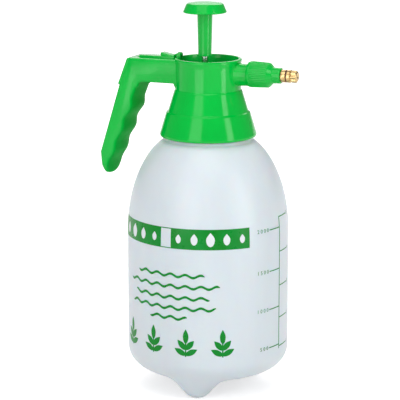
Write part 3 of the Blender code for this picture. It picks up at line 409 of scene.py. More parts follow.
def turned(profile, steps, closed=True):
    """Spins a profile of (radius, height, corner rounding) about Z."""
    bm = bmesh.new()
    verts = [bm.verts.new((r, 0.0, z)) for r, z, _ in profile]
    for a, b in zip(verts, verts[1:] + verts[:1] if closed else verts[1:]):
        bm.edges.new((a, b))
    for vert, (_, _, corner) in zip(verts, profile):
        if corner:
            bmesh.ops.bevel(bm, geom=[vert], offset=corner, offset_type="OFFSET",
                            segments=CORNER_STEPS, profile=0.5, affect="VERTICES", material=-1)
    bmesh.ops.spin(bm, geom=bm.verts[:] + bm.edges[:], cent=(0, 0, 0), axis=(0, 0, 1),
                   dvec=(0, 0, 0), angle=FULL_TURN, steps=steps, use_merge=True)
    return close_up(bm)


def along_nozzle(bm):
    """Lays a turned piece along X at the nozzle's height."""
    bm.transform(Matrix.Translation((0, 0, NOZZLE_Z)) @ Matrix.Rotation(QUARTER_TURN, 4, "Y"))
    return bm


def shifted(bm, x=0.0, y=0.0, z=0.0):
    bmesh.ops.translate(bm, verts=bm.verts, vec=(x, y, z))
    return bm


def merged(first, *others):
    """Adds the meshes of other bmeshes to the first."""
    for other in others:
        mesh = bpy.data.meshes.new("merge")
        other.to_mesh(mesh)
        other.free()
        first.from_mesh(mesh)
        bpy.data.meshes.remove(mesh)
    return first


def extruded(bm, faces, move):
    """Extrudes faces and moves the new ones."""
    grown = bmesh.ops.extrude_face_region(bm, geom=faces)
    moved = [g for g in grown["geom"] if isinstance(g, bmesh.types.BMVert)]
    bmesh.ops.translate(bm, verts=moved, vec=move)
    return bm


def drawn_out(outline, half):
    """Side outline of (x, z) points extruded to both sides of the middle plane."""
    bm = bmesh.new()
    face = bm.faces.new([bm.verts.new((x, -half, z)) for x, z in outline])
    extruded(bm, [face], (0, 2 * half, 0))
    bmesh.ops.recalc_face_normals(bm, faces=bm.faces)
    return bm


def soft_prism(outline, half, edge):
    """Drawn-out outline whose two sides end in a rounded edge."""
    bm = drawn_out(outline, half - edge)
    for side in (-1, 1):
        face = max(bm.faces, key=lambda f: side * f.calc_center_median().y)
        for k in range(EDGE_STEPS):
            a, b = QUARTER_TURN * k / EDGE_STEPS, QUARTER_TURN * (k + 1) / EDGE_STEPS
            bmesh.ops.inset_region(bm, faces=[face], thickness=edge * (math.cos(a) - math.cos(b)),
                                   depth=edge * (math.sin(b) - math.sin(a)), use_even_offset=True)
    return bm


def sliced(bm, places, normal):
    """Cuts a mesh by parallel planes, so that it can follow a curve."""
    direction = Vector(normal)
    for d in places:
        bmesh.ops.bisect_plane(bm, geom=bm.verts[:] + bm.edges[:] + bm.faces[:], dist=CUT_SNAP,
                               plane_co=direction * d, plane_no=direction)
    return bm


# Bottle
BOTTLE_SIDES = 144
BASE_ROUND = (24.0, 19.2)
BASE_RISE = 2.2
BASE_STEPS = 18
SIDE_STEPS = 6
FOOT_ANGLES = [math.radians(d) for d in (-80.5, 52.5, -217.5)]
FOOT_DEPTH = 1.005
FOOT_ROUND = 2.9
FOOT_FADE = 11.0
SHOULDER = (31.4, 205.4)
SHOULDER_BEND = 2.15
SHOULDER_FULL = 0.66
SHOULDER_STEPS = 24
BEAD_FOOT = [(36.5, 203.3), (35.9, 203.8), (35.5, 204.35)]
BEAD = (33.7, 204.9)
BEAD_ROUND = 1.6
BEAD_STEPS = 5
NECK_R = 28.0
NECK_Z = 209.0
MOUTH_EDGE = (0.5, 1.2)

# Neck thread, with the half widths of its ridge at foot and crest
THREAD_PITCH = 6.0
THREAD_Z = 210.3
THREAD_ROOT = 0.5
THREAD_CREST = 1.6
RIDGE_HALF = (1.1, 0.6)
RIDGE_TURNS = 1.25
RIDGE_STEPS = 64


def shoulder_radius(size, z):
    """Outer radius of the bottle's side and shoulder at a height."""
    radius, start = size.bottle_radius / MM, size.side_top / MM
    rise = clamped((z - start) / (SHOULDER[1] - start))
    return SHOULDER[0] + (radius - SHOULDER[0]) * (1 - rise ** SHOULDER_BEND) ** SHOULDER_FULL


def bottle_line(size):
    """Outer profile of the bottle from the middle of its base to its mouth."""
    radius, base, top = size.bottle_radius / MM, size.base_level / MM, size.side_top / MM
    wide, tall = BASE_ROUND
    flat, mouth = radius - wide, size.mouth_level / MM
    line = [(flat * k / BASE_STEPS, base + BASE_RISE * (1 - (k / BASE_STEPS) ** 2))
            for k in range(BASE_STEPS)]
    for k in range(BASE_STEPS + 1):
        a = QUARTER_TURN * (1 - k / BASE_STEPS)
        line.append((flat + wide * math.cos(a), base + tall * (1 - math.sin(a))))
    line += [(radius, base + tall + (top - base - tall) * k / SIDE_STEPS)
             for k in range(1, SIDE_STEPS + 1)]
    for k in range(1, SHOULDER_STEPS + 1):
        z = top + (SHOULDER[1] - top) * math.sin(QUARTER_TURN * k / SHOULDER_STEPS)
        if shoulder_radius(size, z) > BEAD_FOOT[0][0]:
            line.append((shoulder_radius(size, z), z))
    line += BEAD_FOOT
    quarter = [QUARTER_TURN * k / BEAD_STEPS for k in range(BEAD_STEPS + 1)]
    line += [(BEAD[0] + BEAD_ROUND * math.cos(a), BEAD[1] + BEAD_ROUND * math.sin(a))
             for a in quarter]
    bead_top = BEAD[1] + BEAD_ROUND
    line += [(SHOULDER[0] - (SHOULDER[0] - NECK_R) * math.sin(a),
              NECK_Z - (NECK_Z - bead_top) * math.cos(a)) for a in quarter]
    return line + [(NECK_R, mouth - MOUTH_EDGE[1]), (NECK_R - MOUTH_EDGE[0], mouth)]


def sink_feet(bm, size):
    """Pulls the base down to three round feet."""
    spread, circle, base = size.foot_spread / MM, size.foot_circle / MM, size.base_level / MM
    rim = size.bottle_radius / MM
    for vert in bm.verts:
        x, y, z = vert.co
        if z > base + BASE_ROUND[1]:
            continue
        fade = clamped((rim - math.hypot(x, y)) / FOOT_FADE)
        for a in FOOT_ANGLES:
            d = math.hypot(x - circle * math.cos(a), y - circle * math.sin(a)) / spread
            drop = FOOT_DEPTH * base * math.exp(-d ** FOOT_ROUND) * fade * fade * (3 - 2 * fade)
            vert.co.z = max(min(vert.co.z, z - drop), 0.0)


def screw_ridge(r_foot, r_crest, z, first):
    """Screw ridge that starts a share of a turn round the neck."""
    bm = bmesh.new()
    foot, crest = RIDGE_HALF
    section = ((r_foot, -foot), (r_crest, -crest), (r_crest, crest), (r_foot, foot))
    low = z + THREAD_PITCH * first
    start = bm.faces.new([bm.verts.new((r, 0.0, low + dz)) for r, dz in section])
    bmesh.ops.rotate(bm, verts=bm.verts, cent=(0, 0, 0),
                     matrix=Matrix.Rotation(FULL_TURN * first, 3, "Z"))
    bmesh.ops.spin(bm, geom=[start], cent=(0, 0, 0), axis=(0, 0, 1),
                   dvec=(0, 0, THREAD_PITCH / RIDGE_STEPS), angle=RIDGE_TURNS * FULL_TURN,
                   steps=int(RIDGE_TURNS * RIDGE_STEPS))
    return close_up(bm)


class SPRAYER_OT_bottle(bpy.types.Operator):
    """Blown milky bottle with its three feet and neck thread"""
    bl_idname = "sprayer.bottle"
    bl_label = "Bottle"

    def execute(self, context):
        size, look = chosen(context)
        bm = turned([(r, z, 0.0) for r, z in bottle_line(size)], BOTTLE_SIDES, closed=False)
        sink_feet(bm, size)
        bmesh.ops.solidify(bm, geom=bm.faces[:], thickness=size.bottle_wall / MM)
        thread = screw_ridge(NECK_R - THREAD_ROOT, NECK_R + THREAD_CREST, THREAD_Z, 0.0)
        piece("bottle_shell", merged(bm, thread), "bottle", milky_plastic(look),
              ["bottle"])
        return {"FINISHED"}


# Print: turns are degrees to the right of the camera's side, heights from the floor
INK_STEP = 1.8
BAND_Z = (127.5, 143.7)
BAND_ENDS = ((-92.0, -35.0), (-27.0, 29.7))
BAND_ROWS = 6
WINDOW_EDGE = 0.7
DROPS_TALL = (7.0, 9.0, 11.0, 9.0, 7.0)
DROP_WIDE = 0.62
DROP_POINT = 1.7
DROP_LAYER = 2
ALMOND_SIDES = 24
ALMOND_DRAW = 0.5
RIPPLES = ((106.0, 62.0), (97.0, 86.0), (88.0, 70.0), (79.5, 80.0), (71.5, 34.0))
RIPPLE_TURN = -30.0
RIPPLE_STEP = 0.6
RIPPLE_THICK = 2.0
RIPPLE_SWING = 1.1
RIPPLE_PITCH = 12.5
RIPPLE_TAPER = 3.0
RIPPLE_END = 0.35
SPRIG_TURNS = (-68.0, -42.0, -16.0, 10.0)
SPRIG_Z = 40.5
SPRIG_LAYER = 0.05
STEM = (0.55, 12.0)
# Leaves as (height on the stem, lean in degrees, length)
LEAVES = ((1.5, 62, 10.5), (1.5, -62, 10.5), (6.0, 42, 10.0), (6.0, -42, 10.0), (11.0, 0, 11.5))
LEAF_WIDE = 4.6
LEAF_POINT = 1.6
SCALE_TURN = 60.4
SCALE_Z = (38.6, 147.3)
SCALE_ROWS = 42
LINE_HALF = 0.45
TICK_HALF = 0.4
LEFT_TICK = 14.0
RIGHT_TICK = 15.5
LEFT_MARKS = ((42.3, "500"), (73.9, "1000"), (105.1, "1500"), (138.7, "2000"))
RIGHT_MARKS = ((40.7, "1"), (64.6, "2"), (91.0, "3"), (118.8, "4"), (147.0, "5"))
FIGURE_TALL = 3.0
FIGURE_SHARE = 0.7
FIGURE_SPACE = 1.6
FIGURE_GAP = 1.0


def grid(x0, x1, y0, y1, rows=1, step=INK_STEP):
    """Flat bar in columns that can follow the bottle's side."""
    bm = bmesh.new()
    middle = Matrix.Translation(((x0 + x1) / 2, (y0 + y1) / 2, 0))
    bmesh.ops.create_grid(bm, x_segments=max(1, math.ceil((x1 - x0) / step)), y_segments=rows,
                          size=UNIT_SQUARE,
                          matrix=middle @ Matrix.Diagonal((x1 - x0, y1 - y0, 1, 1)))
    return bm


def ripple(middle, height, wide):
    """Wavy line that thins out at its ends."""
    bm = grid(middle - wide / 2, middle + wide / 2, -0.5, 0.5, step=RIPPLE_STEP)
    for vert in bm.verts:
        along = vert.co.x - middle
        ends = min(1.0, (wide / 2 - abs(along)) / RIPPLE_TAPER + RIPPLE_END)
        swing = RIPPLE_SWING * math.sin(FULL_TURN * along / RIPPLE_PITCH)
        vert.co.y = height + RIPPLE_THICK * ends * vert.co.y + swing
    return bm


def almond(wide, tall, point):
    """Flat leaf or drop that stands on the origin and narrows to its top."""
    bm = bmesh.new()
    bmesh.ops.create_circle(bm, cap_ends=True, segments=ALMOND_SIDES, radius=1.0)
    for vert in bm.verts:
        x, y, _ = vert.co
        drawn_in = (1 - max(y, 0.0) ** 2 * ALMOND_DRAW) ** point
        vert.co = (x * wide / 2 * drawn_in, (y + 1) * tall / 2, 0.0)
    return bm


def set_flat(bm, x, y, turn=0.0):
    """Turns a flat mark, sets it on the unrolled side and cuts it into columns and rows."""
    bm.transform(Matrix.Translation((x, y, 0)) @ Matrix.Rotation(turn, 4, "Z"))
    for axis in (0, 1):
        low, high = min(v.co[axis] for v in bm.verts), max(v.co[axis] for v in bm.verts)
        cuts = range(math.floor(low / INK_STEP) + 1, math.ceil(high / INK_STEP))
        sliced(bm, [INK_STEP * k for k in cuts], (1 - axis, axis, 0))
    return bm


def sprig(x, y):
    """Plain upright stem with five leaves."""
    half, tall = STEM
    shapes = [set_flat(grid(-half, half, 0.0, tall), x, y)]
    for up, lean, long in LEAVES:
        leaf = almond(LEAF_WIDE, long, LEAF_POINT)
        shapes.append(set_flat(leaf, x, y + up, math.radians(lean)))
    return shapes


def figures(text, x, y, align):
    """Plain figures as a flat mesh beside a mark of the scale."""
    curve = bpy.data.curves.new("figures", "FONT")
    curve.body, curve.size = text, FIGURE_TALL / FIGURE_SHARE
    curve.align_x, curve.align_y, curve.space_character = align, "CENTER", FIGURE_SPACE
    holder = bpy.data.objects.new("figures", curve)
    bpy.context.scene.collection.objects.link(holder)
    ready = holder.evaluated_get(bpy.context.evaluated_depsgraph_get())
    flat = bpy.data.meshes.new_from_object(ready)
    bm = bmesh.new()
    bm.from_mesh(flat)
    bpy.data.objects.remove(holder)
    bpy.data.curves.remove(curve)
    bpy.data.meshes.remove(flat)
    bmesh.ops.remove_doubles(bm, verts=bm.verts, dist=WELD)
    return set_flat(bm, x, y)


def scale_marks(line):
    """Line of the filling scale with its ticks and figures on both sides."""
    left, right = line - LEFT_TICK, line + RIGHT_TICK
    marks = [grid(line - LINE_HALF, line + LINE_HALF, *SCALE_Z, SCALE_ROWS)]
    for z, text in LEFT_MARKS:
        marks.append(grid(left, line - LINE_HALF, z - TICK_HALF, z + TICK_HALF))
        marks.append(figures(text, left - FIGURE_GAP, z, "RIGHT"))
    for z, text in RIGHT_MARKS:
        marks.append(grid(line + LINE_HALF, right, z - TICK_HALF, z + TICK_HALF))
        marks.append(figures(text, right + FIGURE_GAP, z, "LEFT"))
    return marks


def printed(name, shapes, size, material, layer=1):
    """Raises flat marks to the ink's thickness and bends them round the bottle."""
    bm = merged(bmesh.new(), *shapes)
    radius, ink = size.bottle_radius / MM, size.ink / MM
    extruded(bm, bm.faces[:], (0, 0, ink))
    for vert in bm.verts:
        across, up, raised = vert.co
        turn = FACING + across / radius
        out = shoulder_radius(size, up) + layer * ink + raised
        vert.co = (out * math.cos(turn), out * math.sin(turn), up)
    bmesh.ops.recalc_face_normals(bm, faces=bm.faces)
    return piece(name, bm, "bottle", material)


class SPRAYER_OT_print(bpy.types.Operator):
    """Green print: banner with pale drops, ripples, leaf sprigs and the filling scale"""
    bl_idname = "sprayer.print"
    bl_label = "Print"

    def execute(self, context):
        size, look = chosen(context)
        per_degree = math.radians(1) * size.bottle_radius / MM
        low, high = BAND_Z
        ends = [(a * per_degree, b * per_degree) for a, b in BAND_ENDS]
        ink = green_ink(look)
        bands = [grid(a, b, low, high, BAND_ROWS) for a, b in ends]
        window = [grid(ends[0][1], ends[1][0], z, z + WINDOW_EDGE)
                  for z in (low, high - WINDOW_EDGE)]
        printed("printed_banner", bands + window, size, ink)
        drops = []
        for a, b in ends:
            for k, tall in enumerate(DROPS_TALL):
                x = a + (b - a) * (k + 0.5) / len(DROPS_TALL)
                drop = almond(DROP_WIDE * tall, tall, DROP_POINT)
                drops.append(set_flat(drop, x, (low + high - tall) / 2))
        printed("printed_drops", drops, size, pale_marks(look), DROP_LAYER)
        middle = RIPPLE_TURN * per_degree
        printed("printed_ripples", [ripple(middle, z, wide) for z, wide in RIPPLES], size, ink)
        for k, turn in enumerate(SPRIG_TURNS):
            for j, mark in enumerate(sprig(turn * per_degree, SPRIG_Z)):
                printed(f"printed_sprig_{k}_{j}", [mark], size, ink, 1 + SPRIG_LAYER * j)
        printed("printed_scale", scale_marks(SCALE_TURN * per_degree), size, ink)
        return {"FINISHED"}


# Head collar
COLLAR_SIDES = 160
WALL = 2.2
NECK_PART = 26.3
WELL = 24.2
RIM_Z = 268.9
SKIRT_Z = 206.8
FLANGE_Z = 224.6
COLLAR_RIDGE = (30.7, 28.6)
RIDGE_DROP = 2.0
RIDGE_START = 0.2
FIT_R = 25.2

# Nozzle boss as (radius, place along the nozzle, rounding)
BOSS_LINE = [(0, 25.0, 0), (9.5, 25.0, 0), (9.0, 27.0, 0.8), (8.8, 29.6, 1.5), (8.7, 36.4, 0),
             (0, 36.4, 0)]
BOSS_DROP = 0.9
BOSS_ROOT = 25.5

# Ears of the lever's pin
EAR_X = (-26.0, -23.2)
EAR_Y = (1.9, 3.3)
EAR_Z = (266.5, 272.1)
EAR_ROUND = 1.4
EAR_STEPS = 5


def collar_line(rim, skirt):
    """Section of the collar as (radius, height, rounding): down the outside, up the inside."""
    outside = [(WELL, RIM_Z, 0.5), (rim, RIM_Z, 0.9), (rim, RIM_Z - 2.2, 0.8),
               (NECK_PART, RIM_Z - 4.4, 1.4), (NECK_PART, 244.3, 0.4), (27.2, 243.3, 0.5),
               (32.1, 227.1, 0.4), (33.6, 226.1, 0.5), (skirt, 208.6, 0.7)]
    edge = [(skirt - 0.4, SKIRT_Z, 0.6), (skirt - WALL - 0.3, SKIRT_Z, 0.5)]
    inside = [(33.5, 219.0, 0.3), (32.4, 219.0, 0.3), (32.4, 207.6, 0.4), (30.2, 207.6, 0.4),
              (30.2, FLANGE_Z, 0.0), (25.8, FLANGE_Z, 0.0), (25.8, 226.8, 0.4),
              (30.0, 227.4, 0.0), (24.8, 242.4, 0.0), (WELL, 244.7, 0.0)]
    return outside + edge + inside


def fit_depth(y):
    """Distance from the axis at which a piece ends inside the collar's wall."""
    return math.sqrt(FIT_R ** 2 - y ** 2)


def nozzle_boss():
    """Round boss of the nozzle with its root inside the collar's wall."""
    boss = along_nozzle(turned(BOSS_LINE, NOZZLE_SIDES, closed=False))
    for vert in shifted(boss, z=-BOSS_DROP).verts:
        if vert.co.x < BOSS_ROOT:
            vert.co.x = fit_depth(vert.co.y)
    return boss


def lever_ears():
    """Two ears that hold the lever's pin, rounded at the top."""
    ears = bmesh.new()
    (back, front), (foot, top), half = EAR_X, EAR_Z, (EAR_Y[1] - EAR_Y[0]) / 2
    for side in (-1, 1):
        ear = drawn_out([(back, foot), (front, foot), (front, top), (back, top)], half)
        across = [e for e in ear.edges if abs(e.verts[0].co.y - e.verts[1].co.y) > half
                  and all(v.co.z > top - half for v in e.verts)]
        bmesh.ops.bevel(ear, geom=across, offset=EAR_ROUND, offset_type="OFFSET",
                        segments=EAR_STEPS, profile=0.5, affect="EDGES", material=-1)
        merged(ears, shifted(ear, y=side * sum(EAR_Y) / 2))
    return ears


class SPRAYER_OT_collar(bpy.types.Operator):
    """Stepped collar of the head with its nozzle boss and lever ears"""
    bl_idname = "sprayer.collar"
    bl_label = "Head collar"

    def execute(self, context):
        size, look = chosen(context)
        collar = turned(collar_line(size.rim_radius / MM, size.skirt_radius / MM), COLLAR_SIDES)
        thread = screw_ridge(*COLLAR_RIDGE, THREAD_Z - RIDGE_DROP, RIDGE_START)
        piece("collar_shell", merged(collar, thread, nozzle_boss(), lever_ears()), "head",
              green_plastic(look), ["head_collar"])
        return {"FINISHED"}


# Arm and grip, as (x, z) points
ARM_TOP = 267.5
ARM_END = -17.0
ARM_UNDER = [(ARM_END, 244.8), (-21.6, 244.8), (-24.8, 248.6), (-52.0, 248.6), (-53.7, 248.1),
             (-54.7, 247.0)]
GRIP_TOP = (-55.2, 245.0)
GRIP_LOW_Z = 175.6
GRIP_SLOPE = 0.396
GRIP_EDGE = 1.9
GRIP_END = [(-82.2, 173.4), (-82.9, 171.7), (-83.9, 170.7), (-85.2, 170.6), (-86.4, 171.5),
            (-87.4, 173.8), (-88.2, 177.8), (-88.8, 183.6)]
GRIP_BACK = [(-89.3, 189.4), (-72.0, 245.6)]
BACK_SLOPE = (GRIP_BACK[1][0] - GRIP_BACK[0][0]) / (GRIP_BACK[1][1] - GRIP_BACK[0][1])
BACK_KEEP = 4.0
ELBOW_SEAT = [(-72.4, 244.9), (-63.9, 267.5)]

# Finger side: waves, crown and the faces that get the matt finish
FINGER_STEPS = 45
WAVE_PEAK_Z = 226.4
WAVE_PITCH = 18.0
WAVE_HEIGHT = (2.4, 1.2)
CROWN = 1.8
FINGER_MARGIN = 5.0
FINGER_FRONT = 0.45
FINGER_UNDER = -0.6

# Rounded end of the grip, slot of the lever and the cuts that both need
END_ROUND_Z = 189.0
END_ROUND = (15.6, 18.6)
END_POWER = 2.7
SLOT_X = (-60.3, -27.0)
SLOT_HALF = 5.0
SLOT_DEPTH = 5.0
SLOT_NEAR = 0.01
CUTS_Y = (-12, -10, -7.5, -SLOT_HALF, 0, SLOT_HALF, 7.5, 10, 12)
CUTS_Z = [END_ROUND_Z - 0.8 * k for k in range(23)]


def finger_line():
    """Inner side of the grip from top to bottom with its finger waves."""
    points = []
    for k in range(FINGER_STEPS + 1):
        z = GRIP_TOP[1] + (GRIP_LOW_Z - GRIP_TOP[1]) * k / FINGER_STEPS
        down = clamped((WAVE_PEAK_Z - z) / (WAVE_PEAK_Z - GRIP_LOW_Z))
        tall = WAVE_HEIGHT[0] + (WAVE_HEIGHT[1] - WAVE_HEIGHT[0]) * down
        if z > WAVE_PEAK_Z + WAVE_PITCH / 2:
            tall = 0.0
        wave = tall * (1 + math.cos(FULL_TURN * (z - WAVE_PEAK_Z) / WAVE_PITCH)) / 2
        points.append((GRIP_TOP[0] - GRIP_SLOPE * (GRIP_TOP[1] - z) + wave, z))
    return points


def shape_grip(bm, half):
    """Fits the arm to the collar, rounds the grip's end and crowns its finger side."""
    wide, tall = END_ROUND
    for vert in bm.verts:
        x, y, z = vert.co
        vert.co.x = min(x, -fit_depth(y))
        if z < END_ROUND_Z:
            low = min((END_ROUND_Z - z) / tall, 1.0)
            vert.co.y = y * min(wide * (1 - low ** END_POWER) ** (1 / END_POWER) / half, 1.0)
        back = GRIP_BACK[0][0] + max(z - GRIP_BACK[0][1], 0.0) * BACK_SLOPE
        if z < GRIP_TOP[1] and x > back + BACK_KEEP:
            vert.co.x -= CROWN * (y / half) ** 2
    bm.normal_update()


def mark_fingers(bm):
    """Gives the finger side and the arm's underside the second material."""
    for face in bm.faces:
        x, _, z = face.calc_center_median()
        inside = z < ARM_TOP - FINGER_MARGIN and x < SLOT_X[1] + FINGER_MARGIN
        facing = face.normal.x > FINGER_FRONT or face.normal.z < FINGER_UNDER
        face.material_index = int(inside and facing)


def sink_slot(bm):
    """Presses the lever's slot straight down into the arm's top."""
    pocket = []
    for face in bm.faces:
        x, y, z = face.calc_center_median()
        if z > ARM_TOP - SLOT_NEAR and abs(y) < SLOT_HALF and SLOT_X[0] < x < SLOT_X[1]:
            pocket.append(face)
    extruded(bm, pocket, (0, 0, -SLOT_DEPTH))
    bmesh.ops.delete(bm, geom=pocket, context="FACES")


class SPRAYER_OT_grip(bpy.types.Operator):
    """Arm and pistol grip with finger waves and the lever's slot"""
    bl_idname = "sprayer.grip"
    bl_label = "Grip"

    def execute(self, context):
        size, look = chosen(context)
        half = size.grip_width / MM / 2
        back = GRIP_END + GRIP_BACK + ELBOW_SEAT + [(ARM_END, ARM_TOP)]
        bm = soft_prism(ARM_UNDER + finger_line() + back, half, GRIP_EDGE)
        sliced(bm, CUTS_Y, (0, 1, 0))
        sliced(bm, SLOT_X, (1, 0, 0))
        sliced(bm, CUTS_Z, (0, 0, 1))
        shape_grip(bm, half)
        mark_fingers(bm)
        sink_slot(bm)
        grip = piece("grip_shell", bm, "head", green_plastic(look), ["handle"])
        grip.data.materials.append(finger_plastic(look))
        return {"FINISHED"}


# Thumb lever, as (x, z) points
LEVER_LINE = [(-59.3, 266.0), (-27.8, 266.0), (-27.8, 268.7), (-28.1, 269.0), (-57.6, 269.0),
              (-58.1, 268.7)]
LEVER_HALF = 4.6
LEVER_EDGE = 0.5
PAD_LINE = [(-39.9, 267.9), (-28.5, 267.9), (-28.5, 269.7), (-39.3, 271.85), (-39.7, 271.8),
            (-39.9, 271.5)]
PAD_HALF = 3.7
PAD_EDGE = 0.4
PIVOT = (-24.6, 270.9)
BARREL_R = 1.7
BARREL_ARC = [math.radians(d) for d in range(-90, 151, 15)]
TONGUE_TAIL = [(-30.0, 270.0), (-30.0, 269.2)]
TONGUE_HALF = 1.6
TONGUE_EDGE = 0.3


class SPRAYER_OT_lever(bpy.types.Operator):
    """Thumb lever with its raised pad and hinge tongue"""
    bl_idname = "sprayer.lever"
    bl_label = "Thumb lever"

    def execute(self, context):
        look = context.scene.sprayer_finishes
        lever = soft_prism(LEVER_LINE, LEVER_HALF, LEVER_EDGE)
        pad = soft_prism(PAD_LINE, PAD_HALF, PAD_EDGE)
        barrel = [(PIVOT[0] + BARREL_R * math.cos(a), PIVOT[1] + BARREL_R * math.sin(a))
                  for a in BARREL_ARC]
        tongue = soft_prism(barrel + TONGUE_TAIL, TONGUE_HALF, TONGUE_EDGE)
        piece("lever_shell", merged(lever, pad, tongue), "lever", green_plastic(look),
              ["thumb_lever"])
        return {"FINISHED"}


# Plunger
KNOB_SIDES = 96
ROD_LINE = [(0, 289.5, 0), (2.5, 289.5, 0.3), (2.5, 219.5, 0.3), (0, 219.5, 0)]
ROD_SIDES = 40


def knob_line(radius):
    """Section of the knob and its shaft as (radius, height, rounding), from the top down."""
    top, low, face = KNOB_HIGH.z / MM, KNOB_LOW.z / MM, radius - 2.75
    crown = [(0, top, 0), (8.3, top - 0.25, 0), (face - 1.2, top - 1.0, 0), (face, top - 1.6, 0.6)]
    skirt = [(radius - 0.3, top - 7.4, 0.5), (radius, top - 8.0, 0.3),
             (radius - 0.8, top - 8.7, 0.4), (radius - 2.0, top - 7.9, 0.4)]
    hollow = [(face - 2.0, top - 3.4, 0.6), (7.3, top - 3.4, 0.8), (6.25, top - 4.9, 0.8)]
    shaft = [(5.4, low + 4.0, 0), (5.4, low + 1.7, 0.4), (5.7, low + 1.1, 0.2), (5.7, low, 0.4)]
    bore = [(2.8, low, 0.2), (2.8, low + 19.5, 0), (0, low + 19.5, 0)]
    return crown + skirt + hollow + shaft + bore


class SPRAYER_OT_plunger(bpy.types.Operator):
    """Plunger knob and its shaft, with the drawn steel rod"""
    bl_idname = "sprayer.plunger"
    bl_label = "Plunger"

    def execute(self, context):
        size, look = chosen(context)
        knob = turned(knob_line(size.knob_radius / MM), KNOB_SIDES, closed=False)
        piece("knob_shell", shifted(knob, x=PUMP_X), "plunger", green_plastic(look),
              ["plunger_handle"])
        rod = turned(ROD_LINE, ROD_SIDES, closed=False)
        piece("rod_shell", shifted(rod, x=PUMP_X), "plunger", drawn_steel(look),
              ["piston_rod"])
        return {"FINISHED"}


# Nozzle as (radius, place along the nozzle, rounding)
CORE_LINE = [(2.2, 72.5, 0.2), (2.2, 66.3, 0), (5.1, 66.3, 0.3), (5.1, 62.3, 0.3), (3.2, 62.3, 0),
             (3.2, 50.0, 0), (0.9, 50.0, 0), (0.9, 72.5, 0)]
RING = (4.6, 66.7)
RING_WIRE = 0.36
RING_STEPS = 16
TIP_LINE = [(4.9, 67.1, 0.2), (5.1, 67.4, 0.2), (5.1, 70.0, 0.2), (4.1, 70.2, 0.2),
            (4.1, 70.7, 0.2), (4.45, 71.0, 0), (4.4, 74.6, 0), (3.7, 75.5, 0.5), (1.5, 75.5, 0.2),
            (0.6, 74.9, 0), (0.6, 74.0, 0), (2.5, 74.0, 0), (2.5, 67.1, 0)]
TIP_SIDES = 128

# Ribs of the nut and lobes of the tip: count, span along the nozzle and height
RIBS = (44, (37.7, 52.4), 0.14)
RIB_SIDES = 8
LOBES = (8, (70.9, 74.7), 0.5)
FLUTED_FROM = 4.0


def holder_line(nut):
    """Section of the nut and its plain neck, outside then inside."""
    outside = [(nut - 0.6, 34.9, 0.5), (nut, 37.0, 0.4), (nut - 0.3, 37.6, 0.2),
               (nut - 0.25, 37.9, 0), (nut - 0.5, 45.0, 0), (nut - 0.8, 52.3, 0.6),
               (6.4, 55.5, 0.6), (6.2, 62.0, 0.3)]
    inside = [(3.5, 62.0, 0), (3.5, 48.3, 0), (7.7, 48.3, 0), (7.7, 34.9, 0.3)]
    return outside + inside


def fluted(bm, count, span, height):
    """Waves in the radius of a turned piece between two places along its axis."""
    for vert in bm.verts:
        x, y, z = vert.co
        if span[0] < z < span[1] and math.hypot(x, y) > FLUTED_FROM:
            wave = 1 + height * math.cos(count * math.atan2(y, x)) / math.hypot(x, y)
            vert.co = (x * wave, y * wave, z)
    return bm


class SPRAYER_OT_nozzle(bpy.types.Operator):
    """Ribbed nozzle nut, brass core, seal ring and fluted brass tip"""
    bl_idname = "sprayer.nozzle"
    bl_label = "Nozzle"

    def execute(self, context):
        size, look = chosen(context)
        brass = turned_brass(look)
        nut = fluted(turned(holder_line(size.nut_radius / MM), RIB_SIDES * RIBS[0]), *RIBS)
        piece("nut_shell", along_nozzle(nut), "head", green_plastic(look),
              ["nozzle_holder"])
        core = turned(CORE_LINE, NOZZLE_SIDES)
        piece("core_shell", along_nozzle(core), "head", brass, ["nozzle_core"])
        turns = [FULL_TURN * k / RING_STEPS for k in range(RING_STEPS)]
        ring = turned([(RING[0] + RING_WIRE * math.cos(a), RING[1] + RING_WIRE * math.sin(a), 0)
                       for a in turns], NOZZLE_SIDES)
        piece("seal_ring", along_nozzle(ring), "tip_ring", red_rubber(look),
              ["nozzle_oring"])
        tip = fluted(turned(TIP_LINE, TIP_SIDES), *LOBES)
        piece("tip_shell", along_nozzle(tip), "tip", brass, ["nozzle_tip"])
        return {"FINISHED"}


# Valve spring
SPRING_WIRE = 0.2
SPRING_SIDES = 8
SPRING_COILS = 3
SPRING_STEPS = 24


class SPRAYER_OT_spring(bpy.types.Operator):
    """Coil spring of the spray valve, built at the fixed length of the frame's spring"""
    bl_idname = "sprayer.spring"
    bl_label = "Valve spring"

    def execute(self, context):
        look = context.scene.sprayer_finishes
        low, high = (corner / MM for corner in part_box("valve_spring"))
        radius, steps = (high.y - low.y) / 2 - SPRING_WIRE, SPRING_STEPS * SPRING_COILS
        rise = (high.z - low.z - 2 * SPRING_WIRE) / steps
        bm = bmesh.new()
        start = Matrix.Translation((radius, 0, low.z + SPRING_WIRE))
        bmesh.ops.create_circle(bm, cap_ends=True, segments=SPRING_SIDES, radius=SPRING_WIRE,
                                matrix=start @ Matrix.Rotation(QUARTER_TURN, 4, "X"))
        bmesh.ops.spin(bm, geom=bm.faces[:], cent=(0, 0, 0), axis=(0, 0, 1), dvec=(0, 0, rise),
                       angle=SPRING_COILS * FULL_TURN, steps=steps)
        shifted(close_up(bm), x=(low.x + high.x) / 2 - AXIS_X)
        coil = piece("spring_coil", bm, "head", drawn_steel(look), ["valve_spring"])
        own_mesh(coil)
        return {"FINISHED"}


FINISHES = {"green_plastic": green_plastic, "bottle_plastic": milky_plastic,
            "white_plastic": white_plastic, "hose_plastic": hose_plastic, "brass": turned_brass,
            "steel": drawn_steel, "black_rubber": black_rubber, "red_rubber": red_rubber}


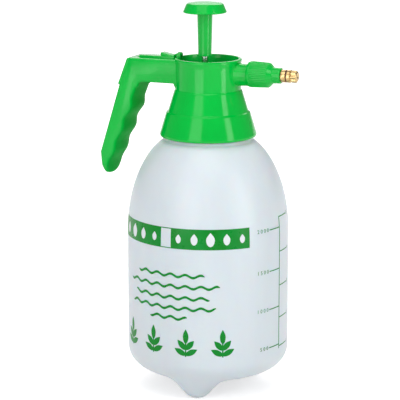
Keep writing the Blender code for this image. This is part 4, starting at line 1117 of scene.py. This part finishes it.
class SPRAYER_OT_inner(bpy.types.Operator):
    """Finishes of the pump, the hoses, the valve and the small fittings"""
    bl_idname = "sprayer.inner"
    bl_label = "Inner pieces"

    def execute(self, context):
        look = context.scene.sprayer_finishes
        for part in frame["record"]["subparts"]:
            obj = frame["nodes"][part["node"]]
            obj.data.materials.clear()
            obj.data.materials.append(FINISHES[part["material_slot"]](look))
        return {"FINISHED"}


# Stage in metres. Softboxes as (power's property, name, sides, place, target)
SOFTBOXES = (
    ("key", "front_softbox", (0.63, 0.94), (-0.2, -1.15, 0.5), (-0.2, 0.0, 0.5)),
    ("side", "side_softbox", (0.26, 0.95), (0.9, -0.22, 0.5), (0.0, -0.22, 0.5)),
    ("top", "top_softbox", (1.2, 1.2), (0.0, -0.5, 1.4), (0.0, 0.0, 0.1)),
    ("back", "back_softbox", (1.5, 1.0), (-0.3, 1.5, 1.45), (0.0, 0.0, 0.2)),
)
CAMERA_PLACE = (0.5743, -1.3877, 0.4777)
CAMERA_TARGET = (0.0005, -0.0025, 0.1535)
SENSOR = 36.0
WHITE = (1.0, 1.0, 1.0, 1.0)
FLOOR_HALF = 30.0
FLOOR_ROUGHNESS = 0.9
FLOOR_SPECULAR = 0.1
GLOW_REACH = (0.25, 1.6)
SCREEN_PLACE = (-2.0, 3.2, 0.8)
SCREEN_SIZE = (3.1, 1.6)


def looking(place, target):
    """Turn of a lamp or camera that looks from a place at a target."""
    return (Vector(target) - Vector(place)).to_track_quat("-Z", "Y").to_euler()


def softbox(name, sides, energy, place, target):
    """Area lamp that faces a point."""
    lamp = bpy.data.lights.new(name, "AREA")
    lamp.shape, lamp.energy = "RECTANGLE", energy
    lamp.size, lamp.size_y = sides
    obj = bpy.data.objects.new(name, lamp)
    obj.location, obj.rotation_euler = place, looking(place, target)
    bpy.context.scene.collection.objects.link(obj)


def floor_paper(stage):
    """Paper that reads white and keeps the shadow."""
    paper = bpy.data.materials.new("floor_paper")
    paper.use_nodes = True
    tree = paper.node_tree
    main_shader = tree.nodes["Principled BSDF"]
    main_shader.inputs["Base Color"].default_value = opaque(stage.floor)
    main_shader.inputs["Roughness"].default_value = FLOOR_ROUGHNESS
    main_shader.inputs["Specular IOR Level"].default_value = FLOOR_SPECULAR
    main_shader.inputs["Emission Color"].default_value = WHITE
    rays = node(tree, "ShaderNodeLightPath").outputs
    seen = combined(tree, "MAXIMUM", rays["Is Camera Ray"], rays["Is Glossy Ray"])
    seen = combined(tree, "MAXIMUM", seen, rays["Is Transmission Ray"])
    far = node(tree, "ShaderNodeVectorMath", {0: own_space(tree)}, operation="LENGTH")
    glow = remap(tree, far.outputs["Value"], *GLOW_REACH, stage.glow, stage.far_glow)
    glow = combined(tree, "MULTIPLY", seen, glow)
    tree.links.new(glow, main_shader.inputs["Emission Strength"])
    return paper


class SPRAYER_OT_stage(bpy.types.Operator):
    """White floor, soft light and the camera"""
    bl_idname = "sprayer.stage"
    bl_label = "Stage"

    def execute(self, context):
        scene, stage = context.scene, context.scene.sprayer_stage
        scene.view_settings.view_transform = "Standard"
        self.floor(scene, stage)
        for key, name, sides, place, target in SOFTBOXES:
            softbox(name, sides, getattr(stage, key), place, target)
        world = bpy.data.worlds.new("studio")
        scene.world = world
        world.use_nodes = True
        back = world.node_tree.nodes["Background"]
        back.inputs["Color"].default_value = WHITE
        back.inputs["Strength"].default_value = stage.fill
        camera = bpy.data.objects.new("camera", bpy.data.cameras.new("camera"))
        scene.collection.objects.link(camera)
        camera.data.lens, camera.data.sensor_width = stage.lens, SENSOR
        camera.location = CAMERA_PLACE
        camera.rotation_euler = looking(CAMERA_PLACE, CAMERA_TARGET)
        scene.camera = camera
        return {"FINISHED"}

    def floor(self, scene, stage):
        """Wide floor with an upright screen of the same paper behind the object."""
        bm = bmesh.new()
        bmesh.ops.create_grid(bm, x_segments=1, y_segments=1, size=FLOOR_HALF)
        upright = Matrix.Translation(SCREEN_PLACE) @ Matrix.Rotation(QUARTER_TURN, 4, "X")
        bmesh.ops.create_grid(bm, x_segments=1, y_segments=1, size=UNIT_SQUARE,
                              matrix=upright @ Matrix.Diagonal((*SCREEN_SIZE, 1, 1)))
        mesh = bpy.data.meshes.new("floor")
        bm.to_mesh(mesh)
        bm.free()
        obj = bpy.data.objects.new("floor", mesh)
        scene.collection.objects.link(obj)
        mesh.materials.append(floor_paper(stage))


class SPRAYER_PT_panel(bpy.types.Panel):
    """Lists the sprayer's pieces and its settings"""
    bl_idname = "SPRAYER_PT_panel"
    bl_label = "Pump sprayer"
    bl_space_type = "VIEW_3D"
    bl_region_type = "UI"
    bl_category = "Sprayer"

    def draw(self, context):
        layout, scene = self.layout, context.scene
        for made in OPERATORS:
            layout.operator(made.bl_idname)
        for group in (scene.sprayer_sizes, scene.sprayer_finishes, scene.sprayer_stage):
            for key in group.__annotations__:
                layout.prop(group, key)


OPERATORS = (SPRAYER_OT_inner, SPRAYER_OT_bottle, SPRAYER_OT_print, SPRAYER_OT_collar,
             SPRAYER_OT_grip, SPRAYER_OT_lever, SPRAYER_OT_plunger, SPRAYER_OT_nozzle,
             SPRAYER_OT_spring, SPRAYER_OT_stage)
CLASSES = (SprayerSizes, SprayerFinishes, SprayerStage, *OPERATORS, SPRAYER_PT_panel)


def register():
    for cls in CLASSES:
        bpy.utils.register_class(cls)
    bpy.types.Scene.sprayer_sizes = PointerProperty(type=SprayerSizes)
    bpy.types.Scene.sprayer_finishes = PointerProperty(type=SprayerFinishes)
    bpy.types.Scene.sprayer_stage = PointerProperty(type=SprayerStage)


def unregister():
    for key in ("sprayer_stage", "sprayer_finishes", "sprayer_sizes"):
        delattr(bpy.types.Scene, key)
    for cls in reversed(CLASSES):
        bpy.utils.unregister_class(cls)


def main():
    register()
    for made in OPERATORS:
        group, name = made.bl_idname.split(".")
        getattr(getattr(bpy.ops, group), name)()


if __name__ == "__main__":
    main()
